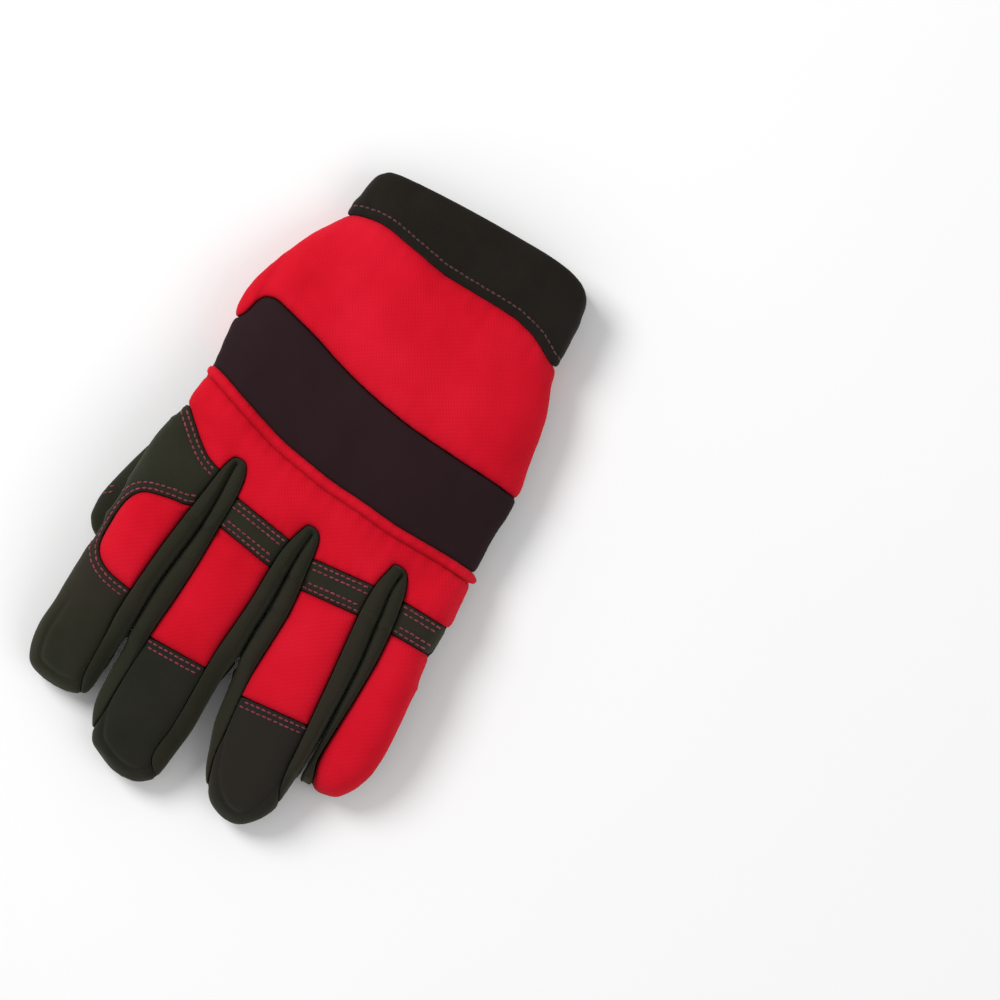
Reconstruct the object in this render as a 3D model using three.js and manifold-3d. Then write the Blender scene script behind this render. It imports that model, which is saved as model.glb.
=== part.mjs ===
// Protective work glove for the left hand, lying palm down with its thumb folded under.
// Millimetres. +Z is up, +Y runs to the cuff, -Y to the fingertips, -X is the thumb side.
// The hand is drawn from the finger crotches: y = 0 there and x = 0 midway across the knuckles.

import * as THREE from 'three';
import { mergeVertices } from 'three/addons/utils/BufferGeometryUtils.js';
import Module from 'manifold-3d';

// Driving sizes
const BACK_LENGTH = 140;      // finger crotches to the cuff's edge
const PALM_WIDTH = 118;       // across the knuckles
const BODY_DEPTH = 28;        // thickness of the hand at the knuckles
const FINGER_DEPTH = 22;      // thickness of a finger at its middle
const THUMB_LENGTH = 98;      // root, inside the palm, to the tip
const THUMB_WIDTH = 26;
const THUMB_DEPTH = 13;
const THUMB_ROOT = 73;        // crotches to the thumb's root
const WALL = 1.8;             // cloth and leather with their lining
const PAD_THICKNESS = 1.5;    // reinforcements on the palm
const STRAP_WIDTH = 11.5;     // knuckle strips
const STRAP_RISE = 0.7;       // knuckle strips above the back
const ROLL_WIDTH = 3.4;       // rolled seam below the neoprene band
const ROLL_RISE = 1.2;        // its height above the back
const RIDGE_WIDTH = 4.5;      // rolled edges of the side strips
const RIDGE_RISE = 1.3;       // their height above the fingers
const GAP = 0.3;              // clearance between neighbouring pieces

// Working values
const PAD_SEAT = PAD_THICKNESS + GAP;
const FAR = 2 * (BACK_LENGTH + PALM_WIDTH);
const BODY_SIDES = 24;
const FINGER_SIDES = 12;
const SECTION_POWER = 2.4;
const SIDE_SEAM = 0.42;       // height of the side seam, as a share of a section's depth
const HALF_GAP = GAP / 2;
const TIP_HOLLOW = 1 / 3;     // least hollow left in a narrow section, as a share of it
const MITER_LIMIT = 0.4;      // keeps the corners of a moved outline from running away

const COLOURS = {
  red: { color: 0xc5162a, roughness: 0.8, metalness: 0 },
  neoprene: { color: 0x2a1c1e, roughness: 0.6, metalness: 0 },
  cuff: { color: 0x201e1a, roughness: 0.9, metalness: 0 },
  leather: { color: 0x292a20, roughness: 0.85, metalness: 0 },
};

// The hand from the crotches (along 0) to the cuff's edge (along 1).
// along: share of BACK_LENGTH. left, right: shares of PALM_WIDTH.
// leftMid, rightMid, half: middle heights at the two edges and half depth, shares of BODY_DEPTH.
const BODY_ROWS = [
  { along: -0.02, left: -0.5, right: 0.48, leftMid: 0.946, rightMid: 0.43, half: 0.3 },
  { along: 0.0, left: -0.515, right: 0.495, leftMid: 0.946, rightMid: 0.43, half: 0.4 },
  { along: 0.06, left: -0.516, right: 0.498, leftMid: 0.946, rightMid: 0.43, half: 0.46 },
  { along: 0.2, left: -0.496, right: 0.492, leftMid: 0.929, rightMid: 0.4, half: 0.496 },
  { along: 0.32, left: -0.479, right: 0.487, leftMid: 0.893, rightMid: 0.39, half: 0.518 },
  { along: 0.42, left: -0.492, right: 0.489, leftMid: 0.839, rightMid: 0.39, half: 0.525 },
  { along: 0.54, left: -0.506, right: 0.466, leftMid: 0.75, rightMid: 0.41, half: 0.521 },
  { along: 0.65, left: -0.476, right: 0.445, leftMid: 0.643, rightMid: 0.43, half: 0.5 },
  { along: 0.74, left: -0.425, right: 0.424, leftMid: 0.536, rightMid: 0.47, half: 0.48 },
  { along: 0.83, left: -0.373, right: 0.39, leftMid: 0.464, rightMid: 0.464, half: 0.471 },
  { along: 0.92, left: -0.366, right: 0.39, leftMid: 0.446, rightMid: 0.446, half: 0.457 },
  { along: 1.0, left: -0.364, right: 0.388, leftMid: 0.436, rightMid: 0.436, half: 0.446 },
];

// Fingers. length and width in millimetres, root: share of PALM_WIDTH.
// down: share of the length. shift, wide: shares of the width.
// lift: underside's height, share of BODY_DEPTH. deep: share of FINGER_DEPTH.
const FINGERS = {
  index: {
    length: 77, width: 28, root: -0.411,
    rows: [
      { down: -0.3, shift: 0.06, wide: 0.86, lift: 0.52, deep: 0.8 },
      { down: -0.1, shift: 0.04, wide: 0.95, lift: 0.5, deep: 1.06 },
      { down: 0.05, shift: 0.02, wide: 0.98, lift: 0.492, deep: 1.12 },
      { down: 0.38, shift: -0.018, wide: 0.99, lift: 0.47, deep: 1.03 },
      { down: 0.62, shift: -0.05, wide: 1.0, lift: 0.3, deep: 0.95 },
      { down: 0.78, shift: -0.095, wide: 1.0, lift: 0.13, deep: 0.9 },
      { down: 0.88, shift: -0.1, wide: 0.94, lift: 0.03, deep: 0.84 },
      { down: 0.95, shift: -0.085, wide: 0.84, lift: 0.0, deep: 0.7 },
      { down: 0.985, shift: -0.07, wide: 0.64, lift: 0.03, deep: 0.5 },
      { down: 1.0, shift: -0.05, wide: 0.4, lift: 0.08, deep: 0.3 },
    ],
  },
  middle: {
    length: 92.5, width: 35.4, root: -0.144,
    rows: [
      { down: -0.28, shift: 0.0, wide: 0.86, lift: 0.37, deep: 0.8 },
      { down: -0.1, shift: 0.0, wide: 0.97, lift: 0.34, deep: 1.08 },
      { down: 0.04, shift: 0.005, wide: 1.0, lift: 0.33, deep: 1.14 },
      { down: 0.4, shift: -0.008, wide: 1.0, lift: 0.24, deep: 1.04 },
      { down: 0.66, shift: -0.02, wide: 0.99, lift: 0.11, deep: 0.95 },
      { down: 0.78, shift: -0.02, wide: 0.95, lift: 0.04, deep: 0.9 },
      { down: 0.87, shift: 0.0, wide: 0.87, lift: 0.01, deep: 0.84 },
      { down: 0.945, shift: 0.035, wide: 0.75, lift: 0.0, deep: 0.7 },
      { down: 0.98, shift: 0.07, wide: 0.5, lift: 0.03, deep: 0.5 },
      { down: 1.0, shift: 0.09, wide: 0.28, lift: 0.08, deep: 0.3 },
    ],
  },
  ring: {
    length: 87.5, width: 37, root: 0.17,
    rows: [
      { down: -0.28, shift: 0.0, wide: 0.84, lift: 0.2, deep: 0.8 },
      { down: -0.1, shift: -0.005, wide: 0.95, lift: 0.18, deep: 1.08 },
      { down: 0.04, shift: 0.0, wide: 0.97, lift: 0.175, deep: 1.14 },
      { down: 0.4, shift: 0.03, wide: 1.01, lift: 0.13, deep: 1.04 },
      { down: 0.66, shift: 0.08, wide: 0.97, lift: 0.06, deep: 0.95 },
      { down: 0.78, shift: 0.11, wide: 0.86, lift: 0.02, deep: 0.9 },
      { down: 0.87, shift: 0.13, wide: 0.74, lift: 0.0, deep: 0.84 },
      { down: 0.94, shift: 0.15, wide: 0.56, lift: 0.0, deep: 0.7 },
      { down: 0.98, shift: 0.17, wide: 0.38, lift: 0.03, deep: 0.5 },
      { down: 1.0, shift: 0.18, wide: 0.22, lift: 0.08, deep: 0.3 },
    ],
  },
  little: {
    length: 63, width: 22, root: 0.409,
    rows: [
      { down: -0.4, shift: -0.03, wide: 0.84, lift: 0.12, deep: 0.78 },
      { down: -0.15, shift: -0.03, wide: 0.95, lift: 0.1, deep: 0.98 },
      { down: 0.05, shift: -0.02, wide: 0.99, lift: 0.1, deep: 1.04 },
      { down: 0.35, shift: 0.09, wide: 1.0, lift: 0.09, deep: 1.0 },
      { down: 0.6, shift: 0.17, wide: 0.97, lift: 0.06, deep: 0.95 },
      { down: 0.76, shift: 0.17, wide: 0.92, lift: 0.03, deep: 0.9 },
      { down: 0.87, shift: 0.13, wide: 0.8, lift: 0.0, deep: 0.82 },
      { down: 0.945, shift: 0.08, wide: 0.62, lift: 0.0, deep: 0.68 },
      { down: 0.985, shift: 0.05, wide: 0.42, lift: 0.03, deep: 0.48 },
      { down: 1.0, shift: 0.04, wide: 0.25, lift: 0.08, deep: 0.3 },
    ],
  },
};

// Thumb, folded under the index side. down: share of THUMB_LENGTH from its root.
// middle: share of PALM_WIDTH. wide: share of THUMB_WIDTH. lift, deep: shares of THUMB_DEPTH.
const THUMB_ROWS = [
  { down: -0.12, middle: -0.305, wide: 1.1, lift: 0.9, deep: 0.75 },
  { down: 0.0, middle: -0.331, wide: 1.2, lift: 0.55, deep: 0.92 },
  { down: 0.15, middle: -0.36, wide: 1.19, lift: 0.27, deep: 1.0 },
  { down: 0.27, middle: -0.371, wide: 1.12, lift: 0.1, deep: 1.04 },
  { down: 0.4, middle: -0.377, wide: 1.06, lift: 0.0, deep: 1.02 },
  { down: 0.53, middle: -0.409, wide: 1.0, lift: 0.0, deep: 1.0 },
  { down: 0.66, middle: -0.445, wide: 0.98, lift: 0.0, deep: 1.0 },
  { down: 0.77, middle: -0.47, wide: 0.97, lift: 0.0, deep: 1.0 },
  { down: 0.86, middle: -0.487, wide: 0.95, lift: 0.0, deep: 0.97 },
  { down: 0.93, middle: -0.497, wide: 0.84, lift: 0.0, deep: 0.88 },
  { down: 0.975, middle: -0.501, wide: 0.62, lift: 0.03, deep: 0.7 },
  { down: 1.0, middle: -0.501, wide: 0.34, lift: 0.12, deep: 0.45 },
];

// Seams across the back. across: share of PALM_WIDTH. along: share of BACK_LENGTH.
const CUFF_MOUTH = [
  { across: -0.6, along: 0.86 },
  { across: -0.372, along: 0.9 },
  { across: -0.362, along: 0.94 },
  { across: -0.338, along: 0.972 },
  { across: -0.28, along: 0.989 },
  { across: -0.025, along: 0.998 },
  { across: 0.22, along: 0.998 },
  { across: 0.322, along: 0.985 },
  { across: 0.372, along: 0.957 },
  { across: 0.396, along: 0.91 },
  { across: 0.6, along: 0.86 },
];

const CUFF_SEAM = [
  { across: -0.6, along: 0.8 },
  { across: -0.39, along: 0.828 },
  { across: -0.339, along: 0.848 },
  { across: -0.263, along: 0.858 },
  { across: -0.144, along: 0.843 },
  { across: -0.008, along: 0.824 },
  { across: 0.203, along: 0.82 },
  { across: 0.288, along: 0.806 },
  { across: 0.381, along: 0.768 },
  { across: 0.6, along: 0.72 },
];

const NEOPRENE_TOP = [
  { across: -0.6, along: 0.53 },
  { across: -0.449, along: 0.557 },
  { across: -0.339, along: 0.546 },
  { across: -0.25, along: 0.525 },
  { across: -0.161, along: 0.5 },
  { across: -0.07, along: 0.479 },
  { across: 0.029, along: 0.462 },
  { across: 0.127, along: 0.45 },
  { across: 0.314, along: 0.44 },
  { across: 0.415, along: 0.436 },
  { across: 0.6, along: 0.418 },
];

const NEOPRENE_BOTTOM = [
  { across: -0.6, along: 0.352 },
  { across: -0.466, along: 0.336 },
  { across: -0.347, along: 0.304 },
  { across: -0.258, along: 0.279 },
  { across: -0.181, along: 0.26 },
  { across: -0.089, along: 0.246 },
  { across: 0.008, along: 0.234 },
  { across: 0.102, along: 0.229 },
  { across: 0.254, along: 0.219 },
  { across: 0.369, along: 0.219 },
  { across: 0.6, along: 0.209 },
];

const INDEX_SEAM = [
  { across: -0.6, along: 0.26 },
  { across: -0.48, along: 0.214 },
  { across: -0.441, along: 0.186 },
  { across: -0.39, along: 0.146 },
  { across: -0.331, along: 0.124 },
  { across: -0.26, along: 0.116 },
];

// Wrist edge of the palm's leather, on the underside.
const PALM_SEAM = [
  { across: -0.6, along: 0.39 },
  { across: -0.492, along: 0.407 },
  { across: -0.4, along: 0.486 },
  { across: -0.331, along: 0.593 },
  { across: -0.25, along: 0.67 },
  { across: -0.093, along: 0.7 },
  { across: 0.246, along: 0.7 },
  { across: 0.6, along: 0.69 },
];

// Knuckle strips, each from its left end to its right end along its upper edge.
const STRAPS = {
  middle: { from: { across: -0.28, along: 0.092 }, to: { across: 0.018, along: 0.052 } },
  ring: { from: { across: 0.018, along: 0.043 }, to: { across: 0.342, along: 0.071 } },
  little: { from: { across: 0.342, along: 0.066 }, to: { across: 0.6, along: 0.063 } },
};

// Side strips between the fingers, from the U end to the fingertips.
// along: share of BACK_LENGTH (negative past the crotches). left, right: shares of PALM_WIDTH.
const FOURCHETTES = {
  index_middle: [
    { along: 0.166, left: -0.29, right: -0.246 },
    { along: 0.152, left: -0.309, right: -0.229 },
    { along: 0.12, left: -0.319, right: -0.223 },
    { along: 0.04, left: -0.324, right: -0.219 },
    { along: -0.1, left: -0.33, right: -0.22 },
    { along: -0.24, left: -0.347, right: -0.232 },
    { along: -0.36, left: -0.354, right: -0.245 },
    { along: -0.46, left: -0.352, right: -0.248 },
    { along: -0.53, left: -0.32, right: -0.256 },
    { along: -0.62, left: -0.31, right: -0.28 },
  ],
  middle_ring: [
    { along: 0.111, left: -0.012, right: 0.036 },
    { along: 0.096, left: -0.03, right: 0.056 },
    { along: 0.06, left: -0.036, right: 0.068 },
    { along: -0.04, left: -0.036, right: 0.074 },
    { along: -0.16, left: -0.04, right: 0.074 },
    { along: -0.28, left: -0.046, right: 0.082 },
    { along: -0.4, left: -0.05, right: 0.1 },
    { along: -0.5, left: -0.05, right: 0.12 },
    { along: -0.57, left: -0.045, right: 0.135 },
    { along: -0.63, left: -0.02, right: 0.12 },
  ],
  ring_little: [
    { along: 0.131, left: 0.277, right: 0.322 },
    { along: 0.116, left: 0.262, right: 0.342 },
    { along: 0.08, left: 0.256, right: 0.354 },
    { along: -0.02, left: 0.262, right: 0.366 },
    { along: -0.16, left: 0.28, right: 0.386 },
    { along: -0.28, left: 0.292, right: 0.392 },
    { along: -0.38, left: 0.298, right: 0.4 },
    { along: -0.44, left: 0.296, right: 0.4 },
    { along: -0.55, left: 0.282, right: 0.36 },
    { along: -0.62, left: 0.28, right: 0.33 },
  ],
};

// Red patches: the index finger's is a D shape, the others end at their caps.
const INDEX_PATCH = [
  { across: -0.334, along: 0.002 },
  { across: -0.4, along: -0.004 },
  { across: -0.466, along: -0.02 },
  { across: -0.496, along: -0.057 },
  { across: -0.505, along: -0.12 },
  { across: -0.498, along: -0.19 },
  { across: -0.45, along: -0.228 },
  { across: -0.35, along: -0.243 },
];

const CAP_SEAMS = {
  middle: { from: { across: -0.3, along: -0.325 }, to: { across: 0.05, along: -0.32 } },
  ring: { from: { across: 0.0, along: -0.345 }, to: { across: 0.4, along: -0.31 } },
};

// Reinforcements on the palm, closed loops.
const PADS = {
  heel_pad: [
    { across: 0.19, along: 0.645 },
    { across: 0.235, along: 0.58 },
    { across: 0.254, along: 0.507 },
    { across: 0.28, along: 0.414 },
    { across: 0.331, along: 0.375 },
    { across: 0.395, along: 0.4 },
    { across: 0.42, along: 0.493 },
    { across: 0.4, along: 0.586 },
    { across: 0.35, along: 0.65 },
    { across: 0.26, along: 0.68 },
  ],
  centre_pad: [
    { across: 0.02, along: 0.29 },
    { across: 0.1, along: 0.32 },
    { across: 0.19, along: 0.38 },
    { across: 0.19, along: 0.44 },
    { across: 0.12, along: 0.44 },
    { across: 0.03, along: 0.37 },
  ],
  knuckle_pad: [
    { across: 0.178, along: 0.257 },
    { across: 0.297, along: 0.307 },
    { across: 0.39, along: 0.321 },
    { across: 0.449, along: 0.271 },
    { across: 0.449, along: 0.186 },
    { across: 0.432, along: 0.121 },
    { across: 0.39, along: 0.079 },
    { across: 0.347, along: 0.1 },
    { across: 0.32, along: 0.15 },
    { across: 0.254, along: 0.143 },
    { across: 0.225, along: 0.079 },
    { across: 0.203, along: 0.0 },
    { across: 0.161, along: -0.014 },
    { across: 0.119, along: 0.021 },
    { across: 0.085, along: 0.064 },
    { across: 0.025, along: 0.043 },
    { across: -0.042, along: -0.043 },
    { across: -0.089, along: -0.05 },
    { across: -0.119, along: -0.007 },
    { across: -0.136, along: 0.057 },
    { across: -0.195, along: 0.071 },
    { across: -0.246, along: 0.036 },
    { across: -0.288, along: -0.057 },
    { across: -0.339, along: -0.079 },
    { across: -0.398, along: -0.043 },
    { across: -0.415, along: 0.029 },
    { across: -0.398, along: 0.093 },
    { across: -0.356, along: 0.157 },
    { across: -0.271, along: 0.196 },
    { across: -0.212, along: 0.207 },
    { across: -0.05, along: 0.18 },
  ],
};

// Red side of the thumb, on its underside: inner edge of the leather from root to tip.
const THUMB_SEAM = [
  { across: -0.6, along: 0.4 },
  { across: -0.48, along: 0.395 },
  { across: -0.435, along: 0.34 },
  { across: -0.41, along: 0.24 },
  { across: -0.395, along: 0.12 },
  { across: -0.395, along: 0.0 },
  { across: -0.41, along: -0.1 },
  { across: -0.44, along: -0.175 },
];

const wasm = await Module();
wasm.setup();

// A closed geometry as a solid that can be joined and cut.
function toSolid(geometry) {
  const bare = geometry.clone();
  bare.deleteAttribute('normal');
  bare.deleteAttribute('uv');
  const merged = mergeVertices(bare, 1e-4);
  const mesh = new wasm.Mesh({
    numProp: 3,
    vertProperties: new Float32Array(merged.attributes.position.array),
    triVerts: new Uint32Array(merged.index.array),
  });
  return new wasm.Manifold(mesh);
}

function toGeometry(solid) {
  const mesh = solid.getMesh();
  const geometry = new THREE.BufferGeometry();
  geometry.setAttribute('position', new THREE.BufferAttribute(new Float32Array(mesh.vertProperties), 3));
  geometry.setIndex(new THREE.BufferAttribute(new Uint32Array(mesh.triVerts), 1));
  geometry.computeVertexNormals();
  return geometry;
}

function union(solids) {
  return solids.reduce((whole, solid) => whole.add(solid));
}

function mix(a, b, share) {
  return a + (b - a) * share;
}

function point(row) {
  return new THREE.Vector2(row.across * PALM_WIDTH, row.along * BACK_LENGTH);
}

// Rings of equal length, joined into a closed surface with a fan at each end.
function skin(rings) {
  const count = rings[0].length;
  const positions = rings.flat();
  const centres = [rings[0], rings[rings.length - 1]].map((ring) => {
    const sum = ring.reduce((total, corner) => total.add(corner), new THREE.Vector3());
    return sum.divideScalar(count);
  });
  const faces = [];
  for (let ring = 0; ring < rings.length - 1; ring += 1) {
    for (let side = 0; side < count; side += 1) {
      const next = (side + 1) % count;
      const here = ring * count;
      const there = here + count;
      faces.push(here + side, here + next, there + side);
      faces.push(here + next, there + next, there + side);
    }
  }
  const first = positions.length;
  const last = (rings.length - 1) * count;
  for (let side = 0; side < count; side += 1) {
    const next = (side + 1) % count;
    faces.push(first, next, side);
    faces.push(first + 1, last + side, last + next);
  }
  const geometry = new THREE.BufferGeometry();
  const corners = [...positions, ...centres].flatMap((corner) => corner.toArray());
  geometry.setAttribute('position', new THREE.Float32BufferAttribute(corners, 3));
  geometry.setIndex(faces);
  return toSolid(geometry);
}

// Sections hold y, left, right, leftMid, rightMid and half, in millimetres.
function bodySections() {
  return BODY_ROWS.map((row) => ({
    y: row.along * BACK_LENGTH,
    left: row.left * PALM_WIDTH,
    right: row.right * PALM_WIDTH,
    leftMid: row.leftMid * BODY_DEPTH,
    rightMid: row.rightMid * BODY_DEPTH,
    half: row.half * BODY_DEPTH,
  })).reverse();
}

function fingerSections(finger) {
  return finger.rows.map((row) => {
    const centre = finger.root * PALM_WIDTH + row.shift * finger.width;
    const halfWidth = (row.wide * finger.width) / 2;
    const half = (row.deep * FINGER_DEPTH) / 2;
    const mid = row.lift * BODY_DEPTH + half;
    return {
      y: -row.down * finger.length,
      left: centre - halfWidth,
      right: centre + halfWidth,
      leftMid: mid,
      rightMid: mid,
      half,
    };
  });
}

function thumbSections() {
  return THUMB_ROWS.map((row) => {
    const centre = row.middle * PALM_WIDTH;
    const halfWidth = (row.wide * THUMB_WIDTH) / 2;
    const half = (row.deep * THUMB_DEPTH) / 2;
    const mid = row.lift * THUMB_DEPTH + half;
    return {
      y: THUMB_ROOT - row.down * THUMB_LENGTH,
      left: centre - halfWidth,
      right: centre + halfWidth,
      leftMid: mid,
      rightMid: mid,
      half,
    };
  });
}

// The same sections, moved in by the wall on every side. open is how far the first one runs on.
function hollowSections(sections, open) {
  const first = sections[0].y;
  const last = sections[sections.length - 1].y;
  const squeeze = (first - last - WALL) / (first - last);
  const rows = sections.map((section) => {
    const reach = Math.min(WALL, (section.right - section.left) * TIP_HOLLOW);
    return {
      ...section,
      y: first + (section.y - first) * squeeze,
      left: section.left + reach,
      right: section.right - reach,
      half: Math.max(section.half - WALL, section.half * TIP_HOLLOW),
    };
  });
  rows[0].y += open;
  return rows;
}

// A rounded section: a power curve about a middle line that may slope across the hand.
function ringOf(section, sides) {
  const centre = (section.left + section.right) / 2;
  const halfWidth = (section.right - section.left) / 2;
  const power = 2 / SECTION_POWER;
  return Array.from({ length: sides }, (unused, side) => {
    const angle = (2 * Math.PI * side) / sides;
    const across = Math.sign(Math.cos(angle)) * Math.abs(Math.cos(angle)) ** power;
    const up = Math.sign(Math.sin(angle)) * Math.abs(Math.sin(angle)) ** power;
    const mid = mix(section.leftMid, section.rightMid, (across + 1) / 2);
    return new THREE.Vector3(centre + halfWidth * across, section.y, mid + section.half * up);
  });
}

function loft(sections, sides) {
  return skin(sections.map((section) => ringOf(section, sides)));
}

// Everything above the side seam of a lofted form.
function aboveSeam(sections) {
  return skin(sections.map((section) => {
    const drop = (1 - 2 * SIDE_SEAM) * section.half;
    const left = section.left - WALL;
    const right = section.right + WALL;
    return [
      new THREE.Vector3(right, section.y, section.rightMid - drop),
      new THREE.Vector3(right, section.y, FAR),
      new THREE.Vector3(left, section.y, FAR),
      new THREE.Vector3(left, section.y, section.leftMid - drop),
    ];
  }));
}

function above(height) {
  const box = new THREE.BoxGeometry(FAR, FAR, FAR);
  box.translate(0, 0, height + FAR / 2);
  return toSolid(box);
}

// A closed outline moved in (or out, when negative) by a distance.
function inset(points, distance) {
  const turn = THREE.ShapeUtils.isClockWise(points) ? -1 : 1;
  return points.map((corner, place) => {
    const before = points[(place + points.length - 1) % points.length];
    const after = points[(place + 1) % points.length];
    const arriving = corner.clone().sub(before).normalize();
    const leaving = after.clone().sub(corner).normalize();
    const normals = [arriving, leaving].map((way) => new THREE.Vector2(-way.y, way.x));
    const spread = 1 + normals[0].dot(normals[1]);
    const miter = normals[0].clone().add(normals[1]).divideScalar(Math.max(spread, MITER_LIMIT));
    return corner.clone().addScaledVector(miter, distance * turn);
  });
}

// A tall prism over an outline of the plan.
function prism(points, distance = 0) {
  const shape = new THREE.Shape(inset(points, distance));
  const geometry = new THREE.ExtrudeGeometry(shape, { depth: FAR, bevelEnabled: false });
  geometry.translate(0, 0, -FAR / 2);
  return toSolid(geometry);
}

// The outline between two seams that run the same way.
function between(upper, lower) {
  return [...upper, ...[...lower].reverse()];
}

function lowered(points, distance) {
  return points.map((corner) => new THREE.Vector2(corner.x, corner.y - distance));
}

// The main forms: outside, inside and everything above the side seam
const body = bodySections();
const fingers = Object.values(FINGERS).map(fingerSections);
const thumb = thumbSections();
const forms = [body, ...fingers];

const bodyOutside = loft(body, BODY_SIDES);
const fingerOutsides = fingers.map((sections) => loft(sections, FINGER_SIDES).intersect(above(0)));
const handOutside = union([bodyOutside.intersect(above(PAD_SEAT)), ...fingerOutsides]);
const thumbOutside = loft(thumb, FINGER_SIDES).intersect(above(0));

const bodyInside = loft(hollowSections(body, WALL), BODY_SIDES);
const fingerInsides = fingers.map((sections) => {
  const inside = loft(hollowSections(sections, 0), FINGER_SIDES);
  return inside.intersect(above(WALL));
});
const thumbInside = loft(hollowSections(thumb, 0), FINGER_SIDES).intersect(above(WALL));
const handInside = union([
  bodyInside.intersect(above(PAD_SEAT + WALL)),
  ...fingerInsides,
  thumbInside,
]);

const handShell = handOutside.subtract(handInside);
const backSpace = union(forms.map(aboveSeam));
const backShell = handShell.intersect(backSpace);
const palmShell = handShell.subtract(backSpace.translate([0, 0, -GAP]));

// Plan outlines of the pieces
const cuffMouth = CUFF_MOUTH.map(point);
const cuffSeam = CUFF_SEAM.map(point);
const neopreneTop = NEOPRENE_TOP.map(point);
const neopreneBottom = NEOPRENE_BOTTOM.map(point);
const rollBottom = lowered(neopreneBottom, ROLL_WIDTH);
const indexSeam = INDEX_SEAM.map(point);
const palmSeam = PALM_SEAM.map(point);
const cuffOutline = between(cuffMouth, cuffSeam);

function strapOutline(strap) {
  const upper = [point(strap.from), point(strap.to)];
  return between(upper, lowered(upper, STRAP_WIDTH));
}

function fourchetteOutline(rows) {
  const left = rows.map((row) => point({ across: row.left, along: row.along }));
  const right = rows.map((row) => point({ across: row.right, along: row.along }));
  return [...left, ...right.reverse()];
}

const straps = Object.values(STRAPS).map(strapOutline);
const strips = Object.values(FOURCHETTES).map(fourchetteOutline);
const indexPatch = INDEX_PATCH.map(point);
const stripCuts = union(strips.map((outline) => prism(outline, -HALF_GAP)));

// Half-planes of the plan, cut along a seam that runs right across the hand
function tipSide(seam) {
  const corners = [new THREE.Vector2(FAR, -FAR), new THREE.Vector2(-FAR, -FAR)];
  const ends = [seam[0], seam[seam.length - 1]];
  const wide = [new THREE.Vector2(-FAR, ends[0].y), ...seam, new THREE.Vector2(FAR, ends[1].y)];
  return [...wide, ...corners];
}

// The stretch of plan that one finger covers, between the middles of the gaps beside it
function fingerZone(leftSide, rightSide) {
  const top = BACK_LENGTH;
  return [
    new THREE.Vector2(leftSide, top),
    new THREE.Vector2(rightSide, top),
    new THREE.Vector2(rightSide, -FAR),
    new THREE.Vector2(leftSide, -FAR),
  ];
}

const fingerNames = Object.keys(FINGERS);

function gapCentre(name) {
  const rows = FOURCHETTES[name];
  const row = rows[Math.floor(rows.length / 2)];
  return ((row.left + row.right) / 2) * PALM_WIDTH;
}

const gapCentres = Object.keys(FOURCHETTES).map(gapCentre);
const zoneEdges = [-FAR, ...gapCentres, FAR];
const zones = Object.fromEntries(fingerNames.map((name, place) => (
  [name, prism(fingerZone(zoneEdges[place], zoneEdges[place + 1]))]
)));

// Pieces
const pieces = [];

function addPiece(name, material, solid) {
  pieces.push({ name, material, solid });
}

function cuffBand() {
  const shell = bodyOutside.intersect(above(0)).subtract(bodyInside.intersect(above(WALL)));
  return shell.intersect(prism(cuffOutline, HALF_GAP));
}

function wristPanel() {
  return backShell.intersect(prism(between(cuffSeam, neopreneTop), HALF_GAP));
}

function neopreneBand() {
  return backShell.intersect(prism(between(neopreneTop, neopreneBottom), HALF_GAP));
}

function backSeamRoll() {
  return handOutside
    .add(handOutside.translate([0, 0, ROLL_RISE]))
    .subtract(handInside)
    .intersect(backSpace)
    .intersect(prism(between(neopreneBottom, rollBottom), HALF_GAP));
}

function backPanel() {
  return backShell
    .intersect(prism(tipSide(rollBottom), HALF_GAP))
    .subtract(prism(tipSide(indexSeam), -HALF_GAP).intersect(zones.index))
    .subtract(stripCuts)
    .subtract(prism(tipSide(strapEdge()), -HALF_GAP));
}

// The upper edges of the three knuckle strips as one seam across the hand
function strapEdge() {
  return Object.values(STRAPS).flatMap((strap) => [strap.from, strap.to]).map(point);
}

function knuckleStrip(name, outline) {
  const raised = handOutside.add(handOutside.translate([0, 0, STRAP_RISE]));
  return raised
    .subtract(handInside)
    .intersect(backSpace)
    .intersect(prism(outline, HALF_GAP))
    .intersect(zones[name])
    .subtract(stripCuts);
}

function fingerBack(name) {
  const below = lowered(strapEdge(), STRAP_WIDTH);
  return backShell
    .intersect(prism(tipSide(below), HALF_GAP))
    .intersect(zones[name])
    .subtract(stripCuts);
}

function capSeam(name) {
  return [point(CAP_SEAMS[name].from), point(CAP_SEAMS[name].to)];
}

function indexBack() {
  return backShell
    .intersect(prism(tipSide(indexSeam), HALF_GAP))
    .intersect(zones.index)
    .subtract(stripCuts)
    .subtract(prism(indexPatch, -HALF_GAP));
}

// The valley between a strip's two rolled edges, closed below its U end
function valleyOutline(rows) {
  const top = rows[0].along * BACK_LENGTH - RIDGE_WIDTH;
  const sides = rows.map((row) => [
    new THREE.Vector2(row.left * PALM_WIDTH + RIDGE_WIDTH, row.along * BACK_LENGTH),
    new THREE.Vector2(row.right * PALM_WIDTH - RIDGE_WIDTH, row.along * BACK_LENGTH),
  ]);
  const open = sides.filter(([left, right]) => right.x - left.x > GAP && left.y < top);
  const bottom = open.map(([left]) => left);
  const upward = open.map(([, right]) => right).reverse();
  return [...bottom, ...upward];
}

// A side strip with a rolled edge on both sides of its middle valley and round its end
function fourchette(rows, outline) {
  const ridge = handOutside
    .translate([0, 0, RIDGE_RISE])
    .subtract(prism(valleyOutline(rows)));
  return handOutside
    .add(ridge)
    .subtract(handInside)
    .intersect(backSpace)
    .intersect(prism(outline, HALF_GAP));
}

function palmLeather() {
  return palmShell
    .intersect(prism(tipSide(palmSeam), HALF_GAP))
    .subtract(thumbInside);
}

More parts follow.
